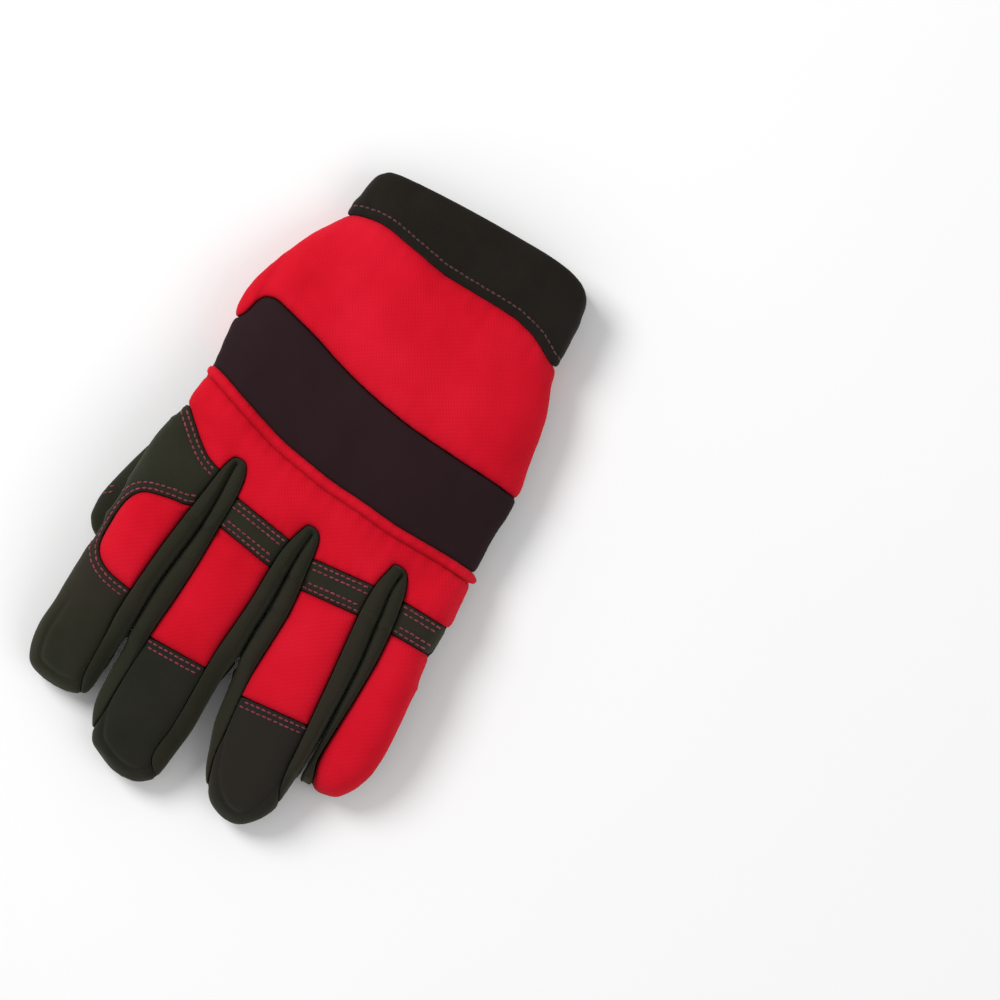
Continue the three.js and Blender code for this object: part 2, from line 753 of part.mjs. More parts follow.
function wristPalmPanel() {
  return palmShell
    .intersect(prism(tipSide(cuffSeam), HALF_GAP))
    .subtract(prism(tipSide(palmSeam), -HALF_GAP))
    .subtract(thumbInside);
}

// Thumb pieces end where the thumb enters the palm
const thumbShell = thumbOutside
  .subtract(thumbInside)
  .subtract(handOutside.add(handOutside.translate([0, 0, -GAP])));

// Underside of the thumb, on the inner side of its seam
function thumbRedSpace(distance) {
  const seam = THUMB_SEAM.map(point);
  const start = seam[0];
  const end = seam[seam.length - 1];
  const corners = [new THREE.Vector2(0, end.y), new THREE.Vector2(0, BACK_LENGTH)];
  const outline = [...seam, ...corners, new THREE.Vector2(start.x, BACK_LENGTH)];
  const low = above(-FAR / 2).subtract(above(THUMB_DEPTH / 2 + distance));
  return prism(outline, -distance).intersect(low);
}

function pad(loop) {
  const under = handOutside.translate([0, 0, -PAD_SEAT]);
  return under
    .subtract(handOutside.translate([0, 0, -GAP]).add(handOutside))
    .subtract(backSpace.translate([0, 0, -GAP]))
    .intersect(above(0))
    .intersect(prism(loop.map(point)))
    .subtract(thumbOutside.translate([0, 0, GAP]).add(thumbOutside));
}

addPiece('cuff_band', 'cuff', cuffBand());
addPiece('wrist_panel', 'red', wristPanel());
addPiece('wrist_palm_panel', 'red', wristPalmPanel());
addPiece('neoprene_band', 'neoprene', neopreneBand());
addPiece('back_seam_roll', 'red', backSeamRoll());
addPiece('back_panel', 'red', backPanel());
addPiece('index_back', 'leather', indexBack());
addPiece('index_patch', 'red', backShell.intersect(prism(indexPatch, HALF_GAP)).subtract(stripCuts));
['middle', 'ring'].forEach((name) => {
  const cap = prism(tipSide(capSeam(name)), HALF_GAP);
  const rest = prism(tipSide(capSeam(name)), -HALF_GAP);
  addPiece(`${name}_patch`, 'red', fingerBack(name).subtract(rest));
  addPiece(`${name}_cap`, 'leather', fingerBack(name).intersect(cap));
});
addPiece('little_panel', 'red', fingerBack('little'));
Object.keys(STRAPS).forEach((name, place) => {
  addPiece(`knuckle_strip_${name}`, 'leather', knuckleStrip(name, straps[place]));
});
Object.keys(FOURCHETTES).forEach((name, place) => {
  addPiece(`fourchette_${name}`, 'leather', fourchette(FOURCHETTES[name], strips[place]));
});
addPiece('palm_leather', 'leather', palmLeather());
addPiece('thumb_leather', 'leather', thumbShell.subtract(thumbRedSpace(HALF_GAP)));
addPiece('thumb_panel', 'red', thumbShell.intersect(thumbRedSpace(-HALF_GAP)));
Object.keys(PADS).forEach((name) => {
  addPiece(name, 'leather', pad(PADS[name]));
});

// The origin is under the middle of the whole glove, on the surface it lies on
const group = new THREE.Group();
const bounds = new THREE.Box3();
pieces.forEach(({ name, material, solid }) => {
  const mesh = new THREE.Mesh(toGeometry(solid), new THREE.MeshStandardMaterial(COLOURS[material]));
  mesh.name = name;
  group.add(mesh);
  bounds.expandByObject(mesh);
});
const middle = bounds.getCenter(new THREE.Vector3());
group.children.forEach((mesh) => mesh.position.set(-middle.x, -middle.y, -bounds.min.z));

export default group;
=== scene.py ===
import math

import bpy
import numpy as np
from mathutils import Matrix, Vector
from mathutils.bvhtree import BVHTree


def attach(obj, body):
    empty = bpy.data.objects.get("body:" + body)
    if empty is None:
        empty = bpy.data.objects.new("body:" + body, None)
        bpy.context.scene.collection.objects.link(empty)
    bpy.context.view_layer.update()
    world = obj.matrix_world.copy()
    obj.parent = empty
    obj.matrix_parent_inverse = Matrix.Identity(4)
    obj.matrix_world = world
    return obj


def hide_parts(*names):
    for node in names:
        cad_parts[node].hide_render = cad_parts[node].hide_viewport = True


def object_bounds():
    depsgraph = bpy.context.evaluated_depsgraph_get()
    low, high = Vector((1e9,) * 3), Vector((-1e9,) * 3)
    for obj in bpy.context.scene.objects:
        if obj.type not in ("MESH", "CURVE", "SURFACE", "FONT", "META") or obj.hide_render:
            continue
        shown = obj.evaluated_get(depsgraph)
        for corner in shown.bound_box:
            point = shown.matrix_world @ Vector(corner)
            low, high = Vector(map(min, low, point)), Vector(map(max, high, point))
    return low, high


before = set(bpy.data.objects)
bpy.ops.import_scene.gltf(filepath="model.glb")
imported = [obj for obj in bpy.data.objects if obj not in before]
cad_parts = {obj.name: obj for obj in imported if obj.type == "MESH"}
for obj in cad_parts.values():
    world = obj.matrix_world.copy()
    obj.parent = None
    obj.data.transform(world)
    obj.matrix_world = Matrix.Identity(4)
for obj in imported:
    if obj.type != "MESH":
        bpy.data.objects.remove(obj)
CAD_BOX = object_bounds()

# Lengths are millimetres in the hand's own frame until a mesh is made:
# y = 0 at the finger crotches and x = 0 midway across the knuckles, as in the part's source.
MM = 0.001
BACK_LENGTH = 140.0
PALM_WIDTH = 118.0
BODY_DEPTH = 28.0
FINGER_DEPTH = 22.0
THUMB_LENGTH = 98.0
THUMB_WIDTH = 26.0
THUMB_DEPTH = 13.0
THUMB_ROOT = 73.0
WALL = 1.8
PAD_THICKNESS = 1.5
STRAP_WIDTH = 11.5
STRAP_RISE = 0.35
STRAP_DROP = 0.8       # how far the strip sinks at its outer end
STRAP_END = (0.38, 0.47)
ROLL_WIDTH = 3.4
ROLL_RISE = 1.25
RIDGE_RISE = 2.8
RIDGE_SHARE = 0.45     # rise of a ridge as a share of its width, up to RIDGE_RISE
RIDGE_AT_TIP = 0.12    # what is left of the rise below the crotch
VALLEY_DEPTH = 2.0
VALLEY_WIDTH = 1.0
CREASE_DEPTH = 1.4
CREASE_WIDTH = 0.9
TIP_SEAM_INSET = 4.6
TIP_SEAM_DEPTH = 0.7
PAD_SEAT = PAD_THICKNESS + 0.3
SECTION_POWER = 2.4
SIDE_SEAM = 0.42

STEP = 0.6            # sampling of the fields
SEAM_GAP = 0.08       # half the clearance between two panels
SOFT = 0.7            # rounding of a panel's edges
TIP_HALF = 0.3        # half size of the last section that closes a fingertip
STEEPEST_END = 3.0    # limit on how fast a form may close round its end, in its field
SEED = 7

# Sections of the hand: along as a share of BACK_LENGTH, left and right edge of PALM_WIDTH, then the
# height of the middle at both edges and the half depth as shares of BODY_DEPTH
BODY_ROWS = [
    (-0.11, -0.48, 0.46, 0.93, 0.42, 0.1),
    (-0.02, -0.5, 0.48, 0.946, 0.43, 0.3),
    (0.0, -0.515, 0.495, 0.946, 0.43, 0.4),
    (0.06, -0.516, 0.498, 0.946, 0.43, 0.46),
    (0.2, -0.496, 0.492, 0.929, 0.4, 0.496),
    (0.32, -0.479, 0.487, 0.893, 0.39, 0.518),
    (0.42, -0.492, 0.489, 0.839, 0.39, 0.525),
    (0.54, -0.506, 0.466, 0.75, 0.41, 0.521),
    (0.65, -0.479, 0.44, 0.643, 0.43, 0.5),
    (0.74, -0.435, 0.402, 0.536, 0.47, 0.48),
    (0.83, -0.373, 0.39, 0.464, 0.464, 0.471),
    (0.92, -0.366, 0.39, 0.446, 0.446, 0.457),
    (1.0, -0.364, 0.388, 0.436, 0.436, 0.446),
]

# Fingers: length, width, place of the root as a share of PALM_WIDTH, then sections of down the length,
# shift and width as shares of the width, lift of BODY_DEPTH and depth of FINGER_DEPTH
FINGERS = {
    "index": (77.0, 28.0, -0.411, [
        (-0.3, 0.06, 0.86, 0.52, 0.8),
        (-0.1, 0.04, 0.95, 0.5, 1.06),
        (0.05, 0.02, 0.98, 0.492, 1.12),
        (0.38, -0.018, 0.99, 0.47, 1.03),
        (0.62, -0.05, 1.0, 0.3, 0.95),
        (0.78, -0.095, 1.0, 0.13, 0.9),
        (0.88, -0.1, 0.94, 0.03, 0.84),
        (0.95, -0.085, 0.84, 0.0, 0.7),
        (0.985, -0.07, 0.64, 0.03, 0.5),
        (1.0, -0.05, 0.4, 0.08, 0.3),
    ]),
    "middle": (92.5, 35.4, -0.144, [
        (-0.28, 0.0, 0.86, 0.37, 0.8),
        (-0.1, 0.0, 0.97, 0.34, 1.08),
        (0.04, 0.005, 1.0, 0.33, 1.14),
        (0.4, -0.008, 1.0, 0.24, 1.04),
        (0.66, -0.02, 0.99, 0.11, 0.95),
        (0.78, -0.02, 0.95, 0.04, 0.9),
        (0.87, 0.0, 0.87, 0.01, 0.84),
        (0.945, 0.035, 0.75, 0.0, 0.7),
        (0.98, 0.07, 0.5, 0.03, 0.5),
        (1.0, 0.09, 0.28, 0.08, 0.3),
    ]),
    "ring": (87.5, 37.0, 0.17, [
        (-0.28, 0.0, 0.84, 0.2, 0.8),
        (-0.1, -0.005, 0.95, 0.18, 1.08),
        (0.04, 0.0, 0.97, 0.175, 1.14),
        (0.4, 0.03, 1.01, 0.13, 1.04),
        (0.66, 0.08, 0.97, 0.06, 0.95),
        (0.78, 0.11, 0.86, 0.02, 0.9),
        (0.87, 0.13, 0.74, 0.0, 0.84),
        (0.94, 0.15, 0.56, 0.0, 0.7),
        (0.98, 0.17, 0.38, 0.03, 0.5),
        (1.0, 0.18, 0.22, 0.08, 0.3),
    ]),
    "little": (63.0, 22.0, 0.409, [
        (-0.4, -0.03, 0.84, 0.12, 0.78),
        (-0.15, -0.03, 0.95, 0.1, 0.98),
        (0.05, -0.02, 0.99, 0.1, 1.04),
        (0.35, 0.09, 1.0, 0.09, 1.0),
        (0.6, 0.17, 0.97, 0.06, 0.95),
        (0.76, 0.17, 0.92, 0.03, 0.9),
        (0.87, 0.13, 0.8, 0.0, 0.82),
        (0.945, 0.08, 0.62, 0.0, 0.68),
        (0.985, 0.05, 0.42, 0.03, 0.48),
        (1.0, 0.04, 0.25, 0.08, 0.3),
    ]),
}

# Sections of the thumb: down its length, middle as a share of PALM_WIDTH, width, lift and depth
THUMB_ROWS = [
    (-0.12, -0.305, 1.1, 0.9, 0.75),
    (0.0, -0.331, 1.2, 0.55, 0.92),
    (0.15, -0.36, 1.19, 0.27, 1.0),
    (0.27, -0.371, 1.12, 0.1, 1.04),
    (0.4, -0.377, 1.06, 0.0, 1.02),
    (0.53, -0.409, 1.0, 0.0, 1.0),
    (0.66, -0.445, 0.98, 0.0, 1.0),
    (0.77, -0.47, 0.97, 0.0, 1.0),
    (0.86, -0.487, 0.95, 0.0, 0.97),
    (0.93, -0.497, 0.84, 0.0, 0.88),
    (0.975, -0.501, 0.62, 0.03, 0.7),
    (1.0, -0.501, 0.34, 0.12, 0.45),
]

# Seams: across as a share of PALM_WIDTH, along as a share of BACK_LENGTH
CUFF_MOUTH = [
    (-0.372, 0.9), (-0.362, 0.94), (-0.338, 0.972), (-0.28, 0.989), (-0.025, 0.998),
    (0.22, 0.998), (0.322, 0.985), (0.372, 0.957), (0.396, 0.91),
]
CUFF_SEAM = [
    (-0.6, 0.8), (-0.39, 0.828), (-0.339, 0.848), (-0.263, 0.858), (-0.144, 0.843),
    (-0.008, 0.824), (0.203, 0.82), (0.288, 0.806), (0.381, 0.768), (0.6, 0.72),
]
NEOPRENE_TOP = [
    (-0.6, 0.43), (-0.5, 0.47), (-0.484, 0.482), (-0.472, 0.502), (-0.462, 0.535), (-0.445, 0.554),
    (-0.415, 0.56), (-0.38, 0.554), (-0.329, 0.543), (-0.25, 0.525), (-0.161, 0.5), (-0.07, 0.479),
    (0.029, 0.462), (0.127, 0.45), (0.314, 0.44), (0.415, 0.436), (0.6, 0.418),
]
NEOPRENE_BOTTOM = [
    (-0.6, 0.352), (-0.466, 0.336), (-0.347, 0.304), (-0.258, 0.279), (-0.181, 0.26),
    (-0.089, 0.246), (0.008, 0.234), (0.102, 0.229), (0.254, 0.219), (0.369, 0.219), (0.6, 0.209),
]
INDEX_SEAM = [
    (-0.6, 0.27), (-0.48, 0.222), (-0.441, 0.194), (-0.39, 0.158), (-0.345, 0.133), (-0.26, 0.112),
]
PALM_SEAM = [
    (-0.6, 0.39), (-0.492, 0.407), (-0.4, 0.486), (-0.331, 0.593), (-0.25, 0.67),
    (-0.093, 0.7), (0.246, 0.7), (0.6, 0.69),
]
THUMB_SEAM = [
    (-0.6, 0.4), (-0.48, 0.395), (-0.435, 0.34), (-0.41, 0.24),
    (-0.395, 0.12), (-0.395, 0.0), (-0.41, -0.1), (-0.44, -0.175),
]

# Upper edges of the knuckle strips: from across, from along, to across, to along
STRAPS = {
    "middle": (-0.28, 0.092, 0.03, 0.05),
    "ring": (0.01, 0.042, 0.32, 0.069),
    "little": (0.3, 0.067, 0.6, 0.063),
}

# Side strips between the fingers: along, left, valley, right
FOURCHETTES = {
    "index_middle": [
        (0.169, -0.28, -0.267, -0.251), (0.154, -0.292, -0.269, -0.236), (0.121, -0.302, -0.269, -0.225),
        (0.071, -0.31, -0.267, -0.22), (0.014, -0.319, -0.268, -0.222), (-0.057, -0.331, -0.275, -0.223),
        (-0.129, -0.341, -0.287, -0.225), (-0.214, -0.35, -0.297, -0.232), (-0.3, -0.358, -0.3, -0.242),
        (-0.371, -0.358, -0.304, -0.246), (-0.43, -0.36, -0.308, -0.249), (-0.5, -0.358, -0.308, -0.252),
        (-0.56, -0.335, -0.305, -0.254), (-0.61, -0.3, -0.28, -0.262), (-0.64, -0.285, -0.275, -0.268),
    ],
    "middle_ring": [
        (0.113, 0.002, 0.02, 0.031), (0.096, -0.008, 0.024, 0.049), (0.057, -0.022, 0.02, 0.059),
        (0.014, -0.03, 0.018, 0.065), (-0.043, -0.033, 0.019, 0.074), (-0.107, -0.034, 0.02, 0.08),
        (-0.179, -0.04, 0.016, 0.077), (-0.264, -0.049, 0.016, 0.073), (-0.343, -0.053, 0.01, 0.079),
        (-0.43, -0.053, 0.014, 0.089), (-0.5, -0.056, 0.024, 0.097), (-0.55, -0.064, 0.034, 0.112),
        (-0.59, -0.06, 0.04, 0.125), (-0.63, -0.02, 0.04, 0.12), (-0.66, 0.02, 0.05, 0.08),
    ],
    "ring_little": [
        (0.136, 0.278, 0.301, 0.312), (0.121, 0.273, 0.31, 0.33), (0.086, 0.263, 0.307, 0.347),
        (0.057, 0.259, 0.309, 0.355), (0.014, 0.259, 0.316, 0.363), (-0.036, 0.263, 0.322, 0.37),
        (-0.107, 0.271, 0.333, 0.375), (-0.193, 0.281, 0.339, 0.374), (-0.293, 0.291, 0.342, 0.369),
        (-0.379, 0.299, 0.344, 0.366), (-0.42, 0.302, 0.344, 0.378), (-0.455, 0.305, 0.342, 0.386),
        (-0.49, 0.312, 0.34, 0.37), (-0.52, 0.326, 0.344, 0.362), (-0.54, 0.34, 0.346, 0.352),
    ],
}

INDEX_PATCH = [
    (-0.27, 0.0), (-0.35, 0.004), (-0.41, -0.004), (-0.466, -0.02), (-0.496, -0.057),
    (-0.505, -0.12), (-0.498, -0.19), (-0.45, -0.228), (-0.36, -0.245), (-0.27, -0.25),
]
CAP_SEAMS = {"middle": (-0.3, -0.325, 0.05, -0.32), "ring": (0.0, -0.345, 0.4, -0.31)}

PADS = {
    "heel_pad": [
        (0.19, 0.645), (0.235, 0.58), (0.254, 0.507), (0.28, 0.414), (0.331, 0.375),
        (0.395, 0.4), (0.42, 0.493), (0.4, 0.586), (0.35, 0.65), (0.26, 0.68),
    ],
    "centre_pad": [
        (0.02, 0.29), (0.1, 0.32), (0.19, 0.38), (0.19, 0.44), (0.12, 0.44), (0.03, 0.37),
    ],
    "knuckle_pad": [
        (0.178, 0.257), (0.297, 0.307), (0.39, 0.321), (0.449, 0.271), (0.449, 0.186),
        (0.432, 0.121), (0.39, 0.079), (0.347, 0.1), (0.32, 0.15), (0.254, 0.143),
        (0.225, 0.079), (0.203, 0.0), (0.161, -0.014), (0.119, 0.021), (0.085, 0.064),
        (0.025, 0.043), (-0.042, -0.043), (-0.089, -0.05), (-0.119, -0.007), (-0.136, 0.057),
        (-0.195, 0.071), (-0.246, 0.036), (-0.288, -0.057), (-0.339, -0.079), (-0.398, -0.043),
        (-0.415, 0.029), (-0.398, 0.093), (-0.356, 0.157), (-0.271, 0.196), (-0.212, 0.207),
        (-0.05, 0.18),
    ],
}


def smooth_table(knots, values, at):
    """A cubic curve through a table of values, without overshoot and level past its ends."""
    knots = np.asarray(knots, float)
    values = np.asarray(values, float)
    steps = np.diff(knots)
    slopes = np.diff(values) / steps
    turning = slopes[:-1] * slopes[1:] <= 0
    total = np.where(turning, 1, slopes[:-1] + slopes[1:])
    tangents = np.where(turning, 0, 2 * slopes[:-1] * slopes[1:] / total)
    tangents = np.concatenate([slopes[:1], tangents, slopes[-1:]])
    place = np.clip(np.searchsorted(knots, at) - 1, 0, len(steps) - 1)
    share = np.clip((at - knots[place]) / steps[place], 0, 1)
    start = (1 + 2 * share) * (1 - share) ** 2 * values[place]
    end = share ** 2 * (3 - 2 * share) * values[place + 1]
    leave = share * (1 - share) ** 2 * steps[place] * tangents[place]
    arrive = share ** 2 * (share - 1) * steps[place] * tangents[place + 1]
    return start + end + leave + arrive


def mix(a, b, share):
    return a + (b - a) * share


def ease(low, high, value):
    share = np.clip((value - low) / (high - low), 0, 1)
    return share * share * (3 - 2 * share)


def soft_max(a, b, radius):
    share = np.maximum(radius - np.abs(a - b), 0) / radius
    return np.maximum(a, b) + share * share * radius / 4


def soft_min(a, b, radius):
    return -soft_max(-a, -b, radius)


def points_of(table):
    return np.array([(across * PALM_WIDTH, along * BACK_LENGTH) for across, along in table])


def curve_through(points, closed, per_span=8):
    """A smooth curve through points of the plan."""
    points = np.asarray(points, float)
    count = len(points)
    if closed:
        padded = np.concatenate([points[-1:], points, points[:2]])
        spans = count
    else:
        first = 2 * points[0] - points[1]
        last = 2 * points[-1] - points[-2]
        padded = np.concatenate([[first], points, [last]])
        spans = count - 1
    share = np.linspace(0, 1, per_span, endpoint=False)[:, None]
    out = []
    for span in range(spans):
        a, b, c, d = padded[span:span + 4]
        out.append(0.5 * (2 * b + (c - a) * share + (2 * a - 5 * b + 4 * c - d) * share ** 2
                          + (3 * b - a - 3 * c + d) * share ** 3))
    if not closed:
        out.append(points[-1:])
    return np.concatenate(out)


# The grid
REACH_X = (-74.0, 64.0)
REACH_Y = (-97.0, 144.0)
REACH_Z = (-2.4, 43.0)
XS = np.arange(*REACH_X, STEP)
YS = np.arange(*REACH_Y, STEP)
ZS = np.arange(*REACH_Z, STEP)
PLAN_X, PLAN_Y = np.meshgrid(XS, YS, indexing="ij")
SHAPE = (len(XS), len(YS), len(ZS))


def span_of(axis, low, high):
    return slice(max(int(np.searchsorted(axis, low)) - 1, 0), int(np.searchsorted(axis, high)) + 1)


FAR = 12.0    # the distance to an outline is worked out up to here


def distance_to(starts, ends, x, y):
    """Distance from points of the plan to the nearest of some straight pieces."""
    nearest = np.full(x.shape, 1e9)
    for a, b in zip(starts, ends):
        way = b - a
        share = np.clip(((x - a[0]) * way[0] + (y - a[1]) * way[1]) / max(way @ way, 1e-9), 0, 1)
        gap = (x - a[0] - share * way[0]) ** 2 + (y - a[1] - share * way[1]) ** 2
        nearest = np.minimum(nearest, gap)
    return np.sqrt(nearest)


def polygon_distance(points):
    """Distance on the plan to a closed outline, negative inside."""
    low, high = points.min(0) - FAR, points.max(0) + FAR
    sx = span_of(XS, low[0], high[0])
    sy = span_of(YS, low[1], high[1])
    x, y = PLAN_X[sx, sy], PLAN_Y[sx, sy]
    inside = np.zeros(x.shape, bool)
    following = np.roll(points, -1, axis=0)
    for a, b in zip(points, following):
        if a[1] != b[1]:
            crosses = (a[1] > y) != (b[1] > y)
            inside ^= crosses & (x < a[0] + (y - a[1]) * (b[0] - a[0]) / (b[1] - a[1]))
    out = np.full(PLAN_X.shape, FAR)
    out[sx, sy] = np.where(inside, -1, 1) * distance_to(points, following, x, y)
    return out


def line_distance(points):
    """Distance on the plan to an open curve."""
    return distance_to(points[:-1], points[1:], PLAN_X, PLAN_Y)


def seam_line(table):
    """The seam as a curve of the plan: a function from x to y."""
    points = points_of(table)
    return lambda x: smooth_table(points[:, 0], points[:, 1], x)


def above_seam(table):
    """Distance on the plan to a seam that runs across the hand, positive on its cuff side."""
    line = seam_line(table)
    height = line(XS)
    slope = np.gradient(height, XS)
    return (PLAN_Y - height[:, None]) / np.sqrt(1 + slope ** 2)[:, None]


# Main forms
FINGER_BLEND = 0.8            # how softly neighbouring fingers meet
WEB_BLEND = 9.0               # the same above the crotches, where cloth joins the fingers
BODY_BLEND = 5.0              # how softly the fingers grow out of the hand
TABLE_BLEND = 1.6             # rounding where the glove lies on its surface
PALM_START = (-22.0, -4.0)    # where the palm rises from the surface on to its pads
PALM_END = (103.0, 117.0)     # where it comes down again


def body_form():
    scales = {"y": BACK_LENGTH, "left": PALM_WIDTH, "right": PALM_WIDTH,
              "left_mid": BODY_DEPTH, "right_mid": BODY_DEPTH, "half": BODY_DEPTH}
    return {key: column * scale for (key, scale), column in zip(scales.items(), np.array(BODY_ROWS).T)}


def tapering_form(y, centre, reach, low, half):
    """A finger or the thumb, given from its root to its tip and closed round its end."""
    last = reach[-1] ** 2
    before = reach[-2] ** 2
    beyond = y[-1] + (y[-1] - y[-2]) * last / (before - last)
    y = np.append(y, beyond)
    centre = np.append(centre, centre[-1])
    middle = np.append(low + half, (low + half)[-1])
    reach = np.append(reach, TIP_HALF)
    half = np.append(half, TIP_HALF)
    return {
        "y": y[::-1],
        "left": (centre - reach)[::-1],
        "right": (centre + reach)[::-1],
        "left_mid": middle[::-1],
        "right_mid": middle[::-1],
        "half": half[::-1],
    }


def finger_form(name):
    length, width, root, rows = FINGERS[name]
    down, shift, wide, lift, deep = np.array(rows).T
    return tapering_form(
        -down * length,
        root * PALM_WIDTH + shift * width,
        wide * width / 2,
        lift * BODY_DEPTH,
        deep * FINGER_DEPTH / 2,
    )


def thumb_form():
    down, middle, wide, lift, deep = np.array(THUMB_ROWS).T
    return tapering_form(
        THUMB_ROOT - down * THUMB_LENGTH,
        middle * PALM_WIDTH,
        wide * THUMB_WIDTH / 2,
        lift * THUMB_DEPTH,
        deep * THUMB_DEPTH / 2,
    )


def section_at(form, y):
    """Centre, half width, heights of the middle at both edges and half depth at each y."""
    left = smooth_table(form["y"], form["left"], y)
    right = smooth_table(form["y"], form["right"], y)
    centre = (left + right) / 2
    reach = (right - left) / 2
    half = smooth_table(form["y"], form["half"], y)
    return (centre, reach, smooth_table(form["y"], form["left_mid"], y),
            smooth_table(form["y"], form["right_mid"], y), half)


def squared_section(form, y):
    """As section_at, with half width and half depth read from their squares, for round ends."""
    centre, reach, left_mid, right_mid, half = section_at(form, y)
    wide = (form["right"] - form["left"]) / 2
    reach = np.sqrt(np.maximum(smooth_table(form["y"], wide ** 2, y), 0.01))
    half = np.sqrt(np.maximum(smooth_table(form["y"], form["half"] ** 2, y), 0.01))
    return centre, reach, left_mid, right_mid, half


def form_field(form, whole=True):
    """Signed distance to a form, roughly, over the block of the grid that it needs."""
    margin = 8.0
    sx = span_of(XS, form["left"].min() - margin, form["right"].max() + margin)
    sy = span_of(YS, form["y"].min() - margin, form["y"].max() + margin) if whole else slice(0, len(YS))
    y = YS[sy]
    centre, reach, left_mid, right_mid, half = squared_section(form, y)
    across = (XS[sx][:, None] - centre) / reach
    middle = mix(left_mid, right_mid, (np.clip(across, -1.2, 1.2) + 1) / 2)
    up = (ZS - middle[..., None]) / half[None, :, None]
    value = (np.abs(across[..., None]) ** SECTION_POWER + np.abs(up) ** SECTION_POWER)
    value = value ** (1 / SECTION_POWER) - 1
    along_x, along_y, along_z = np.gradient(value, STEP)
    level = along_x ** 2 + along_z ** 2
    slope = level + np.minimum(along_y ** 2, STEEPEST_END * level)
    distance = value / np.sqrt(np.maximum(slope, 1e-8))
    return (sx, sy), distance.astype(np.float32)


BODY = body_form()
FINGER_FORMS = {name: finger_form(name) for name in FINGERS}
THUMB = thumb_form()


def hand_field(between):
    """The hand with its fingers; between is how far neighbouring fingers run together."""
    field = np.full(SHAPE, 30, np.float32)
    for form in FINGER_FORMS.values():
        (sx, sy), distance = form_field(form)
        root = (YS[sy] - form["y"].max())[None, :, None]
        tip = (form["y"].min() - YS[sy])[None, :, None]
        distance = np.maximum(np.maximum(distance, root), tip)
        field[sx, sy] = soft_min(field[sx, sy], distance, between)
    (sx, sy), distance = form_field(BODY, whole=False)
    distance = soft_max(distance, (BODY["y"].min() - YS)[None, :, None], 2.0)
    field[sx, sy] = soft_min(field[sx, sy], distance, BODY_BLEND)
    on_palm = ease(*PALM_START, YS) * (1 - ease(*PALM_END, YS))
    floor = (PAD_SEAT * on_palm)[None, :, None] - ZS[None, None, :]
    return soft_max(field, floor, TABLE_BLEND).astype(np.float32)


def thumb_field():
    field = np.full(SHAPE, 30, np.float32)
    (sx, sy), distance = form_field(THUMB)
    ends = np.maximum(YS[sy] - THUMB["y"].max(), THUMB["y"].min() - YS[sy])
    field[sx, sy] = np.maximum(distance, ends[None, :, None])
    return soft_max(field, -ZS[None, None, :], TABLE_BLEND).astype(np.float32)


def waves(seed, count, longest, shortest, height):
    """A smooth random relief over the grid, the same on every run."""
    random = np.random.default_rng(seed)
    total = np.zeros(SHAPE, np.float32)
    for _ in range(count):
        way = random.normal(size=3)
        way[2] *= 0.7
        way /= np.linalg.norm(way)
        rate = 2 * math.pi / random.uniform(shortest, longest)
        phase = random.uniform(0, 2 * math.pi)
        x = (rate * way[0] * XS + phase)[:, None, None]
        y = (rate * way[1] * YS)[None, :, None]
        z = (rate * way[2] * ZS)[None, None, :]
        total += np.sin(x + y + z).astype(np.float32)
    return total * (height / math.sqrt(count))


HAND = hand_field(FINGER_BLEND)
WEBBED = hand_field(WEB_BLEND)
THUMB_FIELD = thumb_field()
RELIEF = waves(SEED, 7, 46, 15, 0.32) + waves(SEED + 1, 8, 11, 5, 0.07)
ON_TABLE = ease(1.0, 7.0, ZS)[None, None, :].astype(np.float32)
HAND = HAND - RELIEF * ON_TABLE
WEBBED = WEBBED - RELIEF * ON_TABLE


# Seams of the plan
GAP_CENTRES = []
for strip_rows in FOURCHETTES.values():
    middle_row = strip_rows[len(strip_rows) // 2]
    GAP_CENTRES.append(middle_row[2] * PALM_WIDTH)
ZONES = {}
zone_edges = [-1e3, *GAP_CENTRES, 1e3]
for place, finger in enumerate(FINGERS):
    ZONES[finger] = np.maximum(zone_edges[place] - PLAN_X, PLAN_X - zone_edges[place + 1])


def side_seam():
    """Height of the seam between the back and the palm, over the plan."""
    def height(form, y_limits):
        y = np.clip(YS, *y_limits)
        centre, reach, left_mid, right_mid, half = section_at(form, y)
        across = np.clip((PLAN_X - centre) / reach, -1, 1)
        middle = mix(left_mid, right_mid, (across + 1) / 2)
        return middle - (1 - 2 * SIDE_SEAM) * half

    on_body = height(BODY, (0.0, BACK_LENGTH))
    on_fingers = None
    for edge, form in zip([-1e3, *GAP_CENTRES], FINGER_FORMS.values()):
        one = height(form, (form["y"].min() + 1, form["y"].max()))
        share = ease(edge - 3, edge + 3, PLAN_X)
        on_fingers = one if on_fingers is None else mix(on_fingers, one, share)
    return mix(on_fingers, on_body, ease(-8, 12, PLAN_Y))


SEAM_HEIGHT = side_seam()
BACK = SEAM_HEIGHT[..., None] - ZS[None, None, :]


def cuff_plan():
    mouth = curve_through(points_of(CUFF_MOUTH), closed=False)
    across = np.linspace(mouth[-1, 0], mouth[0, 0], 60)
    seam = np.stack([across, seam_line(CUFF_SEAM)(across)], 1)
    low_right = [[mouth[-1, 0] + 20, mouth[-1, 1] - 6], [mouth[-1, 0] + 20, seam[0, 1] - 10]]
    low_left = [[mouth[0, 0] - 20, seam[-1, 1] - 3], [mouth[0, 0] - 20, mouth[0, 1] - 5]]
    return polygon_distance(np.concatenate([mouth, low_right, seam, low_left]))


CUFF_PLAN = cuff_plan()
ABOVE_CUFF = above_seam(CUFF_SEAM)
ABOVE_NEOPRENE = above_seam(NEOPRENE_TOP)
ABOVE_ROLL = above_seam(NEOPRENE_BOTTOM)
ABOVE_INDEX = above_seam(INDEX_SEAM)
ABOVE_PALM = above_seam(PALM_SEAM)


